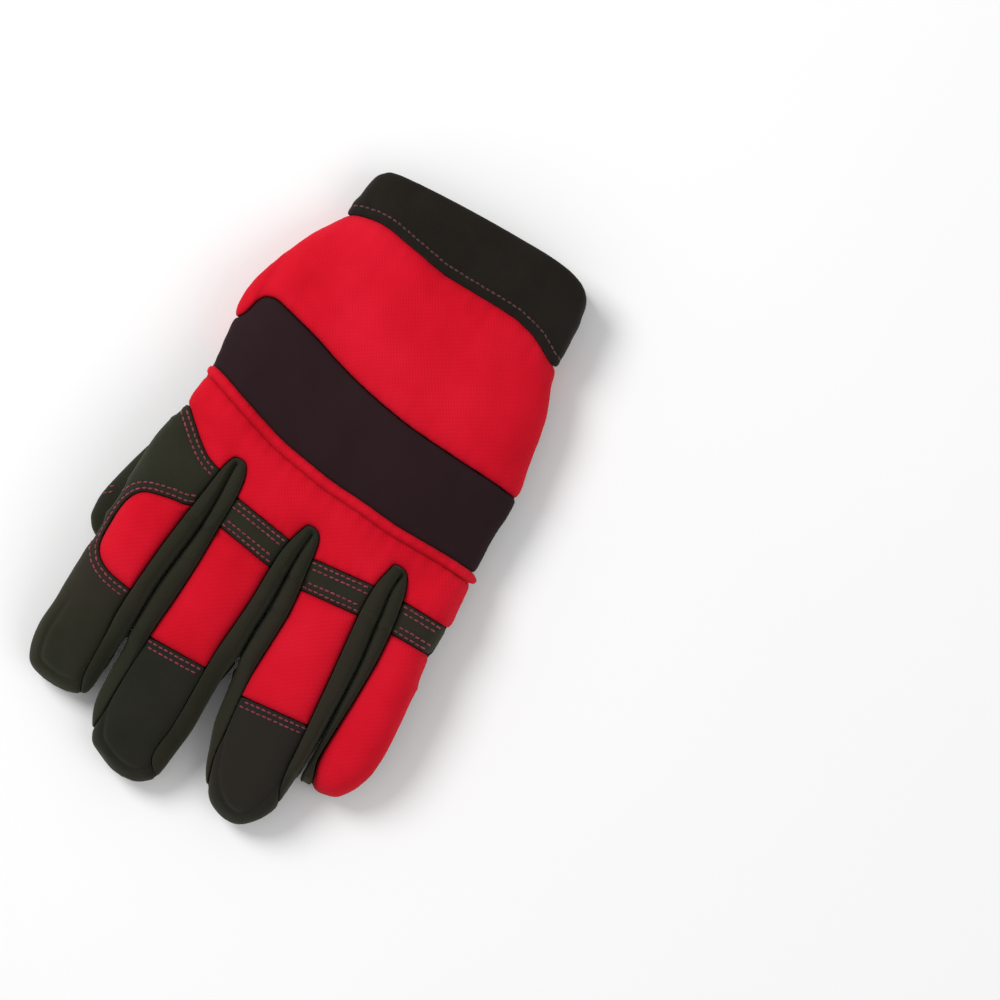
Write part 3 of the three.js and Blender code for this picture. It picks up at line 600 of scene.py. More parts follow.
def strap_line(x):
    """Upper edge of the knuckle strips at each x."""
    heights = []
    for across, along, to_across, to_along in STRAPS.values():
        start, end = across * PALM_WIDTH, to_across * PALM_WIDTH
        share = (x - start) / (end - start)
        heights.append(mix(along, to_along, share) * BACK_LENGTH)
    first = x < GAP_CENTRES[1]
    second = x < GAP_CENTRES[2]
    return np.where(first, heights[0], np.where(second, heights[1], heights[2]))


ABOVE_STRAPS = PLAN_Y - strap_line(PLAN_X)
STRIP_PLANS = {}
VALLEYS = {}
for strip_name, strip_rows in FOURCHETTES.items():
    left_side = [(left, along) for along, left, valley, right in strip_rows]
    right_side = [(right, along) for along, left, valley, right in strip_rows]
    valley_line = [(valley, along) for along, left, valley, right in strip_rows[1:]]
    STRIP_PLANS[strip_name] = polygon_distance(curve_through(points_of(left_side + right_side[::-1]), closed=True))
    VALLEYS[strip_name] = line_distance(curve_through(points_of(valley_line), closed=False, per_span=3))
ALL_STRIPS = np.minimum.reduce(list(STRIP_PLANS.values()))
PATCH_PLAN = polygon_distance(curve_through(points_of(INDEX_PATCH), closed=True))
INDEX_SPACE = np.maximum(ABOVE_INDEX, ZONES["index"])


def outside_of(plan, *cuts):
    for cut in cuts:
        plan = np.maximum(plan, -cut)
    return plan


def above_line(seam):
    across, along, to_across, to_along = seam
    share = (PLAN_X / PALM_WIDTH - across) / (to_across - across)
    return PLAN_Y - mix(along, to_along, share) * BACK_LENGTH


# Meshes from fields
CORNERS = [(i, j, k) for i in (0, 1) for j in (0, 1) for k in (0, 1)]
EDGES = [(a, b) for a in range(8) for b in range(a + 1, 8)
         if sum(abs(p - q) for p, q in zip(CORNERS[a], CORNERS[b])) == 1]


def surface_net(values, origin):
    """A closed mesh of quads round the negative part of a block of samples."""
    values = np.pad(values, 1, constant_values=1.0)
    origin = np.asarray(origin) - STEP
    inside = values < 0
    shape = np.array(values.shape) - 1
    count = np.zeros(shape, np.int8)
    for i, j, k in CORNERS:
        count += inside[i:i + shape[0], j:j + shape[1], k:k + shape[2]]
    cells = np.argwhere((count > 0) & (count < 8))
    number = np.full(shape, -1, np.int64)
    number[tuple(cells.T)] = np.arange(len(cells))
    at = [values[tuple((cells + corner).T)] for corner in CORNERS]
    total = np.zeros((len(cells), 3))
    hits = np.zeros(len(cells))
    for a, b in EDGES:
        crosses = (at[a] < 0) != (at[b] < 0)
        share = np.where(crosses, at[a] / np.where(crosses, at[a] - at[b], 1), 0)
        start, way = np.array(CORNERS[a]), np.array(CORNERS[b]) - np.array(CORNERS[a])
        total += crosses[:, None] * (start + share[:, None] * way)
        hits += crosses
    corners = origin + STEP * (cells + total / hits[:, None])
    quads = []
    for axis in range(3):
        one, two = [(1, 2), (2, 0), (0, 1)][axis]
        here = inside[tuple(slice(0, n) for n in shape)]
        there_slices = [slice(0, n) for n in shape]
        there_slices[axis] = slice(1, shape[axis] + 1)
        there = inside[tuple(there_slices)]
        edges = np.argwhere(here != there)
        edges = edges[(edges[:, one] > 0) & (edges[:, two] > 0)]
        starts_inside = inside[tuple(edges.T)]
        ring = []
        for step_one, step_two in ((0, 0), (1, 0), (1, 1), (0, 1)):
            cell = edges.copy()
            cell[:, one] -= step_one
            cell[:, two] -= step_two
            ring.append(number[tuple(cell.T)])
        ring = np.stack(ring, 1)
        quads.append(np.where(starts_inside[:, None], ring, ring[:, ::-1]))
    return corners, np.concatenate(quads)


def relaxed(corners, quads, share):
    """Each corner moved part of the way to the middle of its neighbours."""
    pairs = np.concatenate([quads[:, [0, 1]], quads[:, [1, 2]], quads[:, [2, 3]], quads[:, [3, 0]]])
    count = np.bincount(pairs[:, 0], minlength=len(corners))
    count = count + np.bincount(pairs[:, 1], minlength=len(corners))
    middle = np.empty_like(corners)
    for axis in range(3):
        total = np.bincount(pairs[:, 0], corners[pairs[:, 1], axis], len(corners))
        total = total + np.bincount(pairs[:, 1], corners[pairs[:, 0], axis], len(corners))
        middle[:, axis] = total / np.maximum(count, 1)
    return corners + share * (middle - corners)


def frame_shift():
    """From the hand's own frame to the row frame, from the part's box."""
    down, middle, wide, lift, deep = np.array(THUMB_ROWS).T
    leftmost = (middle * PALM_WIDTH - wide * THUMB_WIDTH / 2).min() * MM
    highest = max(along for across, along in CUFF_MOUTH) * BACK_LENGTH * MM
    return np.array([CAD_BOX[0].x - leftmost, CAD_BOX[1].y - highest, 0.0])


SHIFT = frame_shift()


def make_object(name, corners, faces, sides, smooth=True):
    mesh = bpy.data.meshes.new(name)
    corners = (corners * MM + SHIFT).astype(np.float32)
    faces = np.asarray(faces, np.int32)
    mesh.vertices.add(len(corners))
    mesh.vertices.foreach_set("co", corners.ravel())
    mesh.loops.add(faces.size)
    mesh.loops.foreach_set("vertex_index", faces.ravel())
    mesh.polygons.add(len(faces))
    mesh.polygons.foreach_set("loop_start", np.arange(0, faces.size, sides, dtype=np.int32))
    mesh.update(calc_edges=True)
    if smooth:
        mesh.shade_smooth()
    piece = bpy.data.objects.new(name, mesh)
    bpy.context.scene.collection.objects.link(piece)
    return piece


SURFACES = {}


def panel(name, plan, side, finish, rise=0.5, dip=0.7, lift=None, base=None, cuts=(),
          wall=WALL, reach=3.0, gap=SEAM_GAP, shade=1.0):
    """One panel of the glove: a puffed wall inside a region of the plan.
    side is back, palm or None; rise and dip are how far the surface stands out in the panel's
    middle and draws in at its seams; lift is an added relief over the plan."""
    base = HAND if base is None else base
    sx = slice(*(np.flatnonzero((plan < 1).any(1))[[0, -1]] + [-1, 2]).clip(0))
    sy = slice(*(np.flatnonzero((plan < 1).any(0))[[0, -1]] + [-1, 2]).clip(0))
    field = base[sx, sy].astype(float)
    region = np.broadcast_to(plan[sx, sy][..., None], field.shape)
    if side == "back":
        region = soft_max(region, BACK[sx, sy], 0.6)
    if side == "palm":
        region = soft_max(region, -BACK[sx, sy], 0.6)
    for cut in cuts:
        region = soft_max(region, -cut[sx, sy], 0.4)
    depth = np.maximum(-region, 0)
    outer = rise * (1 - np.exp(-depth / reach)) - dip * np.exp(-depth / 0.9)
    if lift is not None:
        outer = outer + lift[sx, sy][..., None]
    shell = soft_max(field - outer, np.minimum(outer, 0) - wall - field, SOFT)
    value = soft_max(shell, region + gap, SOFT)
    value = soft_max(value, -ZS[None, None, :], 0.5)
    origin = (XS[sx][0], YS[sy][0], ZS[0])
    corners, quads = surface_net(value, origin)
    corners = relaxed(corners, quads, 0.35)
    piece = make_object(f"sewn_{name}", corners, quads, 4)
    cell = np.rint((corners - origin) / STEP).astype(int)
    cell = np.clip(cell, 0, np.array(depth.shape) - 1)
    # Painted shade: the colour grows darker near the panel's seams, where the surface draws in; shade scales it and
    # the edge attribute carries it to the materials
    edge = shade * np.exp(-depth[tuple(cell.T)] / 1.6)
    layer = piece.data.attributes.new("edge", "FLOAT", "POINT")
    layer.data.foreach_set("value", edge.astype(np.float32))
    piece.data.materials.append(finish.material)
    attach(piece, "root")
    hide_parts(name)
    SURFACES[name] = {"corners": corners, "quads": quads, "plan": plan}
    return piece


def thinned(piece, share):
    """The same surface with a share of its triangles."""
    piece.modifiers.new("thin", "DECIMATE").ratio = share
    depsgraph = bpy.context.evaluated_depsgraph_get()
    mesh = bpy.data.meshes.new_from_object(
        piece.evaluated_get(depsgraph), preserve_all_data_layers=True, depsgraph=depsgraph)
    piece.modifiers.clear()
    piece.data = mesh


# Materials
class Look:
    """Node material with a few helpers."""

    def __init__(self, name, slot):
        self.material = bpy.data.materials.new(name)
        self.material.use_nodes = True
        self.tree = self.material.node_tree
        self.shader = self.tree.nodes["Principled BSDF"]
        self.slot = slot
        self.place = self.tree.nodes.new("ShaderNodeTexCoord").outputs["Object"]

    def feed(self, socket, value):
        """Links a socket, or sets it; a colour may come without its alpha."""
        if isinstance(value, bpy.types.NodeSocket):
            self.tree.links.new(value, socket)
        else:
            socket.default_value = (*value, 1) if socket.type == "RGBA" else value

    def node(self, kind, inputs=None, **settings):
        made = self.tree.nodes.new(kind)
        for key, value in settings.items():
            setattr(made, key, value)
        for key, value in (inputs or {}).items():
            self.feed(made.inputs[key], value)
        return made

    def maths(self, operation, a, b=0.0):
        return self.node("ShaderNodeMath", {0: a, 1: b}, operation=operation).outputs[0]

    def noise(self, scale, detail=3.0, roughness=0.55):
        inputs = {"Vector": self.place, "Scale": scale, "Detail": detail, "Roughness": roughness}
        return self.node("ShaderNodeTexNoise", inputs).outputs[0]

    def wave(self, way, spacing, distortion=0.0):
        """Even ridges along a direction, spacing in millimetres."""
        turned = self.node("ShaderNodeVectorMath", {0: self.place, 1: way}, operation="DOT_PRODUCT")
        angle = self.maths("MULTIPLY", turned.outputs["Value"], 2 * math.pi / (spacing * MM))
        if distortion:
            bent = self.maths("MULTIPLY", self.noise(900, 2.0), distortion)
            angle = self.maths("ADD", angle, bent)
        return self.maths("SINE", angle)

    def ramp(self, value, low, high, stops):
        span = self.node("ShaderNodeMapRange", {0: value, 1: low, 2: high, 3: 0.0, 4: 1.0}).outputs[0]
        ramp = self.node("ShaderNodeValToRGB", {0: span})
        elements = ramp.color_ramp.elements
        elements[0].color = (*stops[0], 1)
        elements[1].color = (*stops[-1], 1)
        for place, colour in enumerate(stops[1:-1], 1):
            elements.new(place / (len(stops) - 1)).color = (*colour, 1)
        return ramp.outputs[0]

    def blend(self, share, a, b):
        return self.node("ShaderNodeMix", {0: share, 6: a, 7: b}, data_type="RGBA").outputs[2]

    # Reads the painted seam shade that panel stores in the edge attribute
    def edge(self):
        return self.node("ShaderNodeAttribute", attribute_name="edge").outputs["Fac"]

    def bump(self, height, distance, strength=1.0, after=None):
        inputs = {"Height": height, "Distance": distance * MM, "Strength": strength}
        if after is not None:
            inputs["Normal"] = after
        return self.node("ShaderNodeBump", inputs).outputs[0]

    def finish(self, colour, roughness, normal, sheen=0.0, sheen_tint=(1, 1, 1), specular=0.5):
        inputs = {
            "Base Color": colour, "Roughness": roughness, "Normal": normal, "Sheen Weight": sheen,
            "Sheen Roughness": 0.5, "Sheen Tint": sheen_tint, "Specular IOR Level": specular,
        }
        for key, value in inputs.items():
            self.feed(self.shader.inputs[key], value)
        return self


def red_look():
    look = Look("red_fabric", "red_fabric")
    cloudy = look.noise(28, 3)
    colour = look.ramp(cloudy, 0.3, 0.72, [(0.54, 0.002, 0.012), (0.63, 0.004, 0.018), (0.68, 0.007, 0.024)])
    one = look.wave((0.82, 0.57, 0.5), 0.95, 0.9)
    two = look.wave((0.57, -0.82, 0.4), 1.35, 0.9)
    weave = look.maths("ADD", one, look.maths("MULTIPLY", two, 0.6))
    shade = look.node("ShaderNodeMapRange", {0: weave, 1: -1.6, 2: 1.6, 3: 0.0, 4: 1.0}).outputs[0]
    colour = look.blend(look.maths("MULTIPLY", shade, 0.12), colour, (0.3, 0.0, 0.008))
    # Painted shade: the red darkens towards its seams
    colour = look.blend(look.maths("MULTIPLY", look.edge(), 0.45), colour, (0.24, 0.0, 0.008))
    fuzz = look.noise(2600, 2, 0.7)
    normal = look.bump(weave, 0.05, 0.5)
    normal = look.bump(fuzz, 0.12, 0.35, normal)
    return look.finish(colour, 0.85, normal, sheen=0.04, sheen_tint=(1, 0.35, 0.35), specular=0.1)


def neoprene_look():
    look = Look("neoprene", "neoprene")
    cloudy = look.noise(22, 3)
    colour = look.ramp(cloudy, 0.3, 0.7, [(0.017, 0.0065, 0.008), (0.022, 0.009, 0.0108)])
    knit = look.maths("MULTIPLY", look.wave((1, 0.2, 0.3), 0.7), look.wave((-0.2, 1, 0.3), 0.7))
    fuzz = look.noise(3000, 2, 0.6)
    normal = look.bump(knit, 0.03, 0.4)
    normal = look.bump(fuzz, 0.05, 0.3, normal)
    return look.finish(colour, 0.75, normal, sheen=0.0, specular=0.1)


def cuff_look():
    look = Look("cuff_fabric", "cuff_fabric")
    cloudy = look.noise(60, 4, 0.6)
    colour = look.ramp(cloudy, 0.3, 0.7, [(0.0075, 0.0055, 0.0042), (0.0135, 0.0102, 0.008)])
    nap = look.noise(1700, 3, 0.7)
    colour = look.blend(look.maths("MULTIPLY", nap, 0.4), colour, (0.022, 0.02, 0.014))
    normal = look.bump(nap, 0.2, 0.5)
    return look.finish(colour, 0.93, normal, sheen=0.08, specular=0.08)


def leather_look(name, slot, tint):
    look = Look(name, slot)
    cloudy = look.noise(45, 4, 0.6)
    dark = tuple(part * 0.62 for part in tint)
    warm = (tint[0] * 1.02, tint[1] * 0.82, tint[2] * 0.95)
    colour = look.ramp(cloudy, 0.28, 0.72, [dark, tint])
    colour = look.blend(look.ramp(look.noise(14, 2), 0.42, 0.6, [(0, 0, 0), (1, 1, 1)]), colour, warm)
    grain = look.noise(1500, 4, 0.65)
    cells = look.node("ShaderNodeTexVoronoi", {"Vector": look.place, "Scale": 900.0}).outputs[0]
    light = tuple(part * 1.9 for part in tint)
    colour = look.blend(look.maths("MULTIPLY", grain, 0.35), colour, light)
    # Painted shade: the leather darkens towards its seams
    colour = look.blend(look.maths("MULTIPLY", look.edge(), 0.3), colour, tuple(p * 0.4 for p in tint))
    normal = look.bump(cells, 0.1, 0.35)
    normal = look.bump(grain, 0.22, 0.5, normal)
    return look.finish(colour, 0.9, normal, sheen=0.1, sheen_tint=(0.75, 0.8, 0.6), specular=0.1)


def thread_look(name, slot, tint, pale):
    look = Look(name, slot)
    cloudy = look.noise(400, 2)
    colour = look.ramp(cloudy, 0.35, 0.65, [tint, pale])
    twist = look.wave((0.7, 0.7, 0.4), 0.35, 0.5)
    normal = look.bump(twist, 0.05, 0.6)
    return look.finish(colour, 0.6, normal, sheen=0.2, specular=0.4)


RED = red_look()
NEOPRENE = neoprene_look()
CUFF = cuff_look()
LEATHER = leather_look("dark_leather", "dark_leather", (0.02, 0.0205, 0.012))
PAD_LEATHER = leather_look("pad_leather", "pad_leather", (0.022, 0.0225, 0.0132))
CAP_LEATHER = leather_look("cap_leather", "dark_leather", (0.0165, 0.0162, 0.0118))
THREAD = thread_look("thread", "red_fabric", (0.17, 0.004, 0.02), (0.28, 0.022, 0.055))
DIM_THREAD = thread_look("dim_thread", "cuff_fabric", (0.05, 0.008, 0.01), (0.11, 0.02, 0.025))


def groove(distance, deep, wide):
    return -deep * np.exp(-(distance / wide) ** 2)


# Stitch rows: how far inside a panel's edge they run
FIRST_ROW = 1.3
SECOND_ROW = 3.3
ROWS = (FIRST_ROW, SECOND_ROW)
INNER_ROWS = (-FIRST_ROW, -SECOND_ROW)
PAD_ROWS = (1.2, 3.2)
PAIR = (0.0, 2.0)


def rows_along(distance):
    """The small furrows that two rows of stitches press beside an edge."""
    return sum(groove(distance - row, 0.22, 0.55) for row in ROWS)


def puckers(seed, spacing, height, distance, reach):
    """Small gathers across the plan that fade away from a seam."""
    random = np.random.default_rng(seed)
    wander = np.interp(XS, np.linspace(XS[0], XS[-1], 40), random.uniform(-1.5, 1.5, 40))
    ripple = np.sin(2 * math.pi * XS / spacing + wander)[:, None]
    return height * ripple * np.exp(-np.abs(distance) / reach)


def build_back():
    cuff_lift = groove(ABOVE_CUFF - 3.4, 0.25, 0.9) + puckers(3, 5.2, 0.12, ABOVE_CUFF, 5.0)
    panel("cuff_band", CUFF_PLAN, None, CUFF, rise=0.7, dip=0.8, lift=cuff_lift, wall=2.2)
    wrist = np.maximum(ABOVE_CUFF, -ABOVE_NEOPRENE)
    wrist_lift = puckers(4, 6.5, 0.2, ABOVE_CUFF, 5.0) + puckers(5, 7.5, 0.16, ABOVE_NEOPRENE, 4.0)
    panel("wrist_panel", wrist, "back", RED, rise=1.1, dip=0.9, lift=wrist_lift, reach=4.0)
    band = np.maximum(ABOVE_NEOPRENE, -ABOVE_ROLL)
    panel("neoprene_band", band, "back", NEOPRENE, rise=0.35, dip=0.5, shade=0.8)
    roll_plan = np.maximum(ABOVE_ROLL, -ABOVE_ROLL - ROLL_WIDTH)
    half = ROLL_WIDTH / 2
    share = np.clip(1 - np.maximum(-roll_plan, 0) / half, 0, 1)
    roll_lift = ROLL_RISE * np.sqrt(1 - share ** 2) + puckers(6, 4.6, 0.14, ABOVE_ROLL, 6.0)
    panel("back_seam_roll", roll_plan, "back", RED, rise=0, dip=0.0, lift=roll_lift, gap=-0.35, shade=0.25)
    below_roll = ABOVE_ROLL + ROLL_WIDTH
    back = outside_of(below_roll, INDEX_SPACE, ALL_STRIPS)
    back = np.maximum(back, -ABOVE_STRAPS)
    back_lift = puckers(8, 5.5, 0.22, below_roll, 4.0) + puckers(9, 4.4, 0.14, ABOVE_STRAPS, 3.0)
    panel("back_panel", back, "back", RED, rise=0.8, dip=0.45, lift=back_lift, shade=0.7)


# How far up each side strip closes the gap between its fingers
CROTCHES = {"index_middle": -51.0, "middle_ring": -39.0, "ring_little": -62.0}


def tip_seam(name):
    """The seam that runs round a fingertip, a little inside its outline."""
    form = FINGER_FORMS[name]
    left = np.stack([form["left"], form["y"]], 1)
    right = np.stack([form["right"], form["y"]], 1)
    plan = polygon_distance(curve_through(np.concatenate([left, right[::-1]]), closed=True))
    tip = form["y"].min()
    near_tip = 1 - ease(tip + 0.3 * FINGERS[name][0], tip + 0.45 * FINGERS[name][0], PLAN_Y)
    return groove(plan + TIP_SEAM_INSET, TIP_SEAM_DEPTH, 0.75) * near_tip


def build_fingers():
    index_lift = rows_along(-ABOVE_INDEX) + rows_along(PATCH_PLAN) + tip_seam("index")
    index_plan = outside_of(INDEX_SPACE, ALL_STRIPS, PATCH_PLAN)
    panel("index_back", index_plan, "back", LEATHER, rise=0.4, dip=0.35, lift=index_lift)
    patch = outside_of(PATCH_PLAN, ALL_STRIPS)
    panel("index_patch", patch, "back", RED, rise=0.5, dip=0.9)
    for name in STRAPS:
        inside = np.minimum(-ABOVE_STRAPS, ABOVE_STRAPS + STRAP_WIDTH)
        plan = outside_of(np.maximum(-inside, ZONES[name]), ALL_STRIPS)
        lift = STRAP_RISE - STRAP_DROP * ease(*STRAP_END, PLAN_X / PALM_WIDTH) + rows_along(inside)
        panel(f"knuckle_strip_{name}", plan, "back", LEATHER, rise=0.3, dip=0.5, lift=lift)
    below_straps = ABOVE_STRAPS + STRAP_WIDTH
    for name in ("middle", "ring"):
        above_cap = above_line(CAP_SEAMS[name])
        plan = outside_of(np.maximum(below_straps, ZONES[name]), ALL_STRIPS)
        red = np.maximum(plan, -above_cap)
        panel(f"{name}_patch", red, "back", RED, rise=0.7, dip=0.8)
        leather = np.maximum(plan, above_cap)
        lift = rows_along(-above_cap) + tip_seam(name)
        panel(f"{name}_cap", leather, "back", CAP_LEATHER, rise=0.5, dip=0.4, lift=lift)
    little = outside_of(np.maximum(below_straps, ZONES["little"]), ALL_STRIPS)
    panel("little_panel", little, "back", RED, rise=0.7, dip=0.8)
    for name, plan in STRIP_PLANS.items():
        inward = np.maximum(-plan, 0)
        whole = np.maximum(inward + VALLEYS[name], 0.1)
        round_top = np.sqrt(np.maximum(1 - (2 * inward / whole - 1) ** 2, 0))
        crotch = CROTCHES[name]
        fade = mix(RIDGE_AT_TIP, 1, ease(crotch - 10, crotch + 6, PLAN_Y))
        ridge = np.minimum(whole * RIDGE_SHARE, RIDGE_RISE) * fade * round_top
        valley = groove(VALLEYS[name], VALLEY_DEPTH, VALLEY_WIDTH)
        webbed = ease(crotch - 3, crotch + 4, YS)[None, :, None].astype(np.float32)
        panel(f"fourchette_{name}", plan, "back", LEATHER, rise=0, dip=0.3, lift=ridge + valley,
              base=mix(HAND, WEBBED, webbed))


# The palm's net has more triangles than one piece may have
PALM_SHARE = 0.55


def build_palm():
    open_palm = THUMB_FIELD + WALL
    creases = 0
    for name, crotch in CROTCHES.items():
        creases = creases + groove(VALLEYS[name], CREASE_DEPTH, CREASE_WIDTH) * ease(crotch - 6, crotch + 4, PLAN_Y)
    creases = creases * (1 - ease(-22, -8, PLAN_Y))
    joined = mix(HAND, WEBBED, ease(-52, -40, YS)[None, :, None].astype(np.float32))
    palm = panel("palm_leather", ABOVE_PALM, "palm", LEATHER, rise=0.1, dip=0.4, cuts=(open_palm,),
                 base=joined, lift=creases)
    thinned(palm, PALM_SHARE)
    wrist = np.maximum(ABOVE_CUFF, -ABOVE_PALM)
    panel("wrist_palm_panel", wrist, "palm", RED, rise=0.2, dip=0.6, cuts=(open_palm,), gap=-0.25)
    seam = curve_through(points_of(THUMB_SEAM), closed=False)
    corners = [[0, seam[-1, 1]], [0, BACK_LENGTH], [seam[0, 0], BACK_LENGTH]]
    red_side = polygon_distance(np.concatenate([seam, corners]))
    middle = section_at(THUMB, np.clip(YS, THUMB["y"].min(), THUMB["y"].max()))[2]
    middle = middle + 3 * THUMB_DEPTH * ease(46, 60, YS)
    red_space = np.maximum(red_side[..., None], ZS[None, None, :] - middle[None, :, None])
    whole = np.where((THUMB_FIELD < 3).any(2), -20.0, 5.0)
    clear = HAND - 0.2
    panel("thumb_leather", whole, None, LEATHER, rise=0.1, dip=0.3, base=THUMB_FIELD,
          cuts=(clear, red_space))
    panel("thumb_panel", whole, None, RED, rise=0.1, dip=0.4, base=THUMB_FIELD,
          cuts=(clear, -red_space))


def build_pads():
    for name, loop in PADS.items():
        outline = curve_through(points_of(loop), closed=True)
        plan = polygon_distance(outline)
        depth = np.maximum(-plan, 0)
        base = soft_max(HAND - PAD_THICKNESS - 0.3, -ZS[None, None, :], 0.8)
        piece = panel(name, plan, "palm", PAD_LEATHER, rise=0.0, dip=0.9, base=base,
                      lift=rows_along(depth), cuts=(THUMB_FIELD - 0.3,), wall=PAD_THICKNESS - 0.1)


build_back()
build_fingers()
build_palm()
build_pads()


# Stitches
STITCH = 1.75         # length of one stitch
PITCH = 2.15          # from one stitch to the next
THREAD_RADIUS = 0.35
THREAD_SIDES = 6
STITCH_PROFILE = ((0.12, 0.75), (0.5, 1.0), (0.88, 0.75))   # along the stitch, share of the radius


def offset_curve(points, distance, closed=False):
    """A curve moved sideways, to the inside where it is closed and distance is positive."""
    if closed:
        ahead = np.roll(points, -1, axis=0) - np.roll(points, 1, axis=0)
        x, y = points.T
        turn = np.sign((x * np.roll(y, -1) - y * np.roll(x, -1)).sum())
    else:
        ahead = np.gradient(points, axis=0)
        turn = 1
    normal = np.stack([-ahead[:, 1], ahead[:, 0]], 1)
    normal /= np.maximum(np.linalg.norm(normal, axis=1), 1e-9)[:, None]
    moved = points + turn * distance * normal
    return np.concatenate([moved, moved[:1]]) if closed else moved


def seam_curve(table, low=-66.0, high=64.0, count=140):
    x = np.linspace(low, high, count)
    return np.stack([x, seam_line(table)(x)], 1)


def sample_plan(plan, points):
    cell = np.rint((points - (XS[0], YS[0])) / STEP).astype(int)
    cell = np.clip(cell, 0, np.array(plan.shape) - 1)
    return plan[cell[:, 0], cell[:, 1]]


def surface_tree(names):
    corners, faces, start = [], [], 0
    for name in names:
        surface = SURFACES[name]
        corners.append(surface["corners"])
        faces.append(surface["quads"] + start)
        start += len(surface["corners"])
    return BVHTree.FromPolygons(np.concatenate(corners).tolist(), np.concatenate(faces).tolist())


def stitch_ends(curve, phase):
    """Both ends of every stitch along a curve of the plan."""
    steps = np.linalg.norm(np.diff(curve, axis=0), axis=1)
    run = np.concatenate([[0], np.cumsum(steps)])
    starts = np.arange(phase * PITCH, run[-1] - STITCH, PITCH)
    return [np.stack([np.interp(where, run, column) for column in curve.T], 1)
            for where in (starts, starts + STITCH)]


def laid_stitches(rows, targets, side):
    """Both ends of each stitch on the panels named in targets, and the panel's normal between them."""
    tree = surface_tree(targets)
    plans = [SURFACES[target]["plan"] for target in targets]
    height, way = (80.0, Vector((0, 0, -1))) if side == "back" else (-20.0, Vector((0, 0, 1)))
    random = np.random.default_rng(SEED + len(rows))
    firsts, lasts, normals = [], [], []
    for number, curve in enumerate(rows):
        for start, end in zip(*stitch_ends(curve, 0.25 + 0.5 * (number % 2))):
            middle = ((start + end) / 2)[None]
            if min(sample_plan(plan, middle)[0] for plan in plans) > -0.5:
                continue
            wander = random.normal(0, 0.07, 4)
            hits = [tree.ray_cast(Vector((*(spot + slip), height)), way)
                    for spot, slip in ((start, wander[:2]), (end, wander[2:]))]
            if any(hit[0] is None for hit in hits):
                continue
            one, two = (np.array(hit[0]) for hit in hits)
            if np.linalg.norm(one - two) > 2 * STITCH:
                continue
            normal = np.array(hits[0][1]) + np.array(hits[1][1])
            firsts.append(one)
            lasts.append(two)
            normals.append(normal / np.linalg.norm(normal))
    return np.array(firsts), np.array(lasts), np.array(normals)


def stitch_shapes(first, last, normal):
    """Corners and triangles of a small round stitch between each pair of ends."""
    along = last - first
    along /= np.linalg.norm(along, axis=1)[:, None]
    across = np.cross(along, normal)
    across /= np.linalg.norm(across, axis=1)[:, None]
    up = np.cross(across, along)
    angles = np.arange(THREAD_SIDES) * 2 * math.pi / THREAD_SIDES
    points = [first - 0.1 * up]
    for share, thick in STITCH_PROFILE:
        centre = first + share * (last - first) + (0.12 + 0.1 * (thick == 1.0)) * up
        for angle in angles:
            points.append(centre + thick * THREAD_RADIUS * (math.cos(angle) * across + math.sin(angle) * up))
    points.append(last - 0.1 * up)
    each = len(points)
    faces = []
    for side_number in range(THREAD_SIDES):
        beside = (side_number + 1) % THREAD_SIDES
        faces.append((0, 1 + beside, 1 + side_number))
        for ring in range(len(STITCH_PROFILE) - 1):
            here, there = 1 + ring * THREAD_SIDES, 1 + (ring + 1) * THREAD_SIDES
            faces.append((here + side_number, here + beside, there + side_number))
            faces.append((here + beside, there + beside, there + side_number))
        end_ring = 1 + (len(STITCH_PROFILE) - 1) * THREAD_SIDES
        faces.append((each - 1, end_ring + side_number, end_ring + beside))
    corners = np.stack(points, 1).reshape(-1, 3)
    corners[:, 2] = np.maximum(corners[:, 2], 0.02)
    offsets = np.arange(len(first))[:, None, None] * each
    triangles = (np.array(faces)[None] + offsets).reshape(-1, 3)
    return corners, triangles


def stitches(name, finish, rows, targets, side):
    """One mesh of stitches laid on the panels named in targets.
    rows is a list of curves of the plan; side is back, seen from above, or palm, from below."""
    corners, triangles = stitch_shapes(*laid_stitches(rows, targets, side))
    piece = make_object(name, corners, triangles, 3)
    piece.data.materials.append(finish.material)
    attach(piece, "root")
    return piece


def double(curve, rows, closed=False):
    return [offset_curve(curve, row, closed) for row in rows]


def plan_curve(points, closed=False):
    return curve_through(np.array(points, float), closed)


THUMB_ARC = [(-67.0, -14.0), (-59.0, -8.0), (-54.5, 1.0), (-54.0, 10.0), (-58.0, 19.0), (-67.0, 25.0)]
THUMB_EDGE_STITCHES = [(-71.0, -12.5), (-68.0, -9.5), (-64.5, -7.5)]
WRIST_STITCHES = [(8.0, 93.0), (5.5, 82.0), (1.0, 72.0)]
INDEX_EDGE_STITCHES = [(-47.0, 35.6), (-50.5, 31.0), (-53.0, 26.0)]


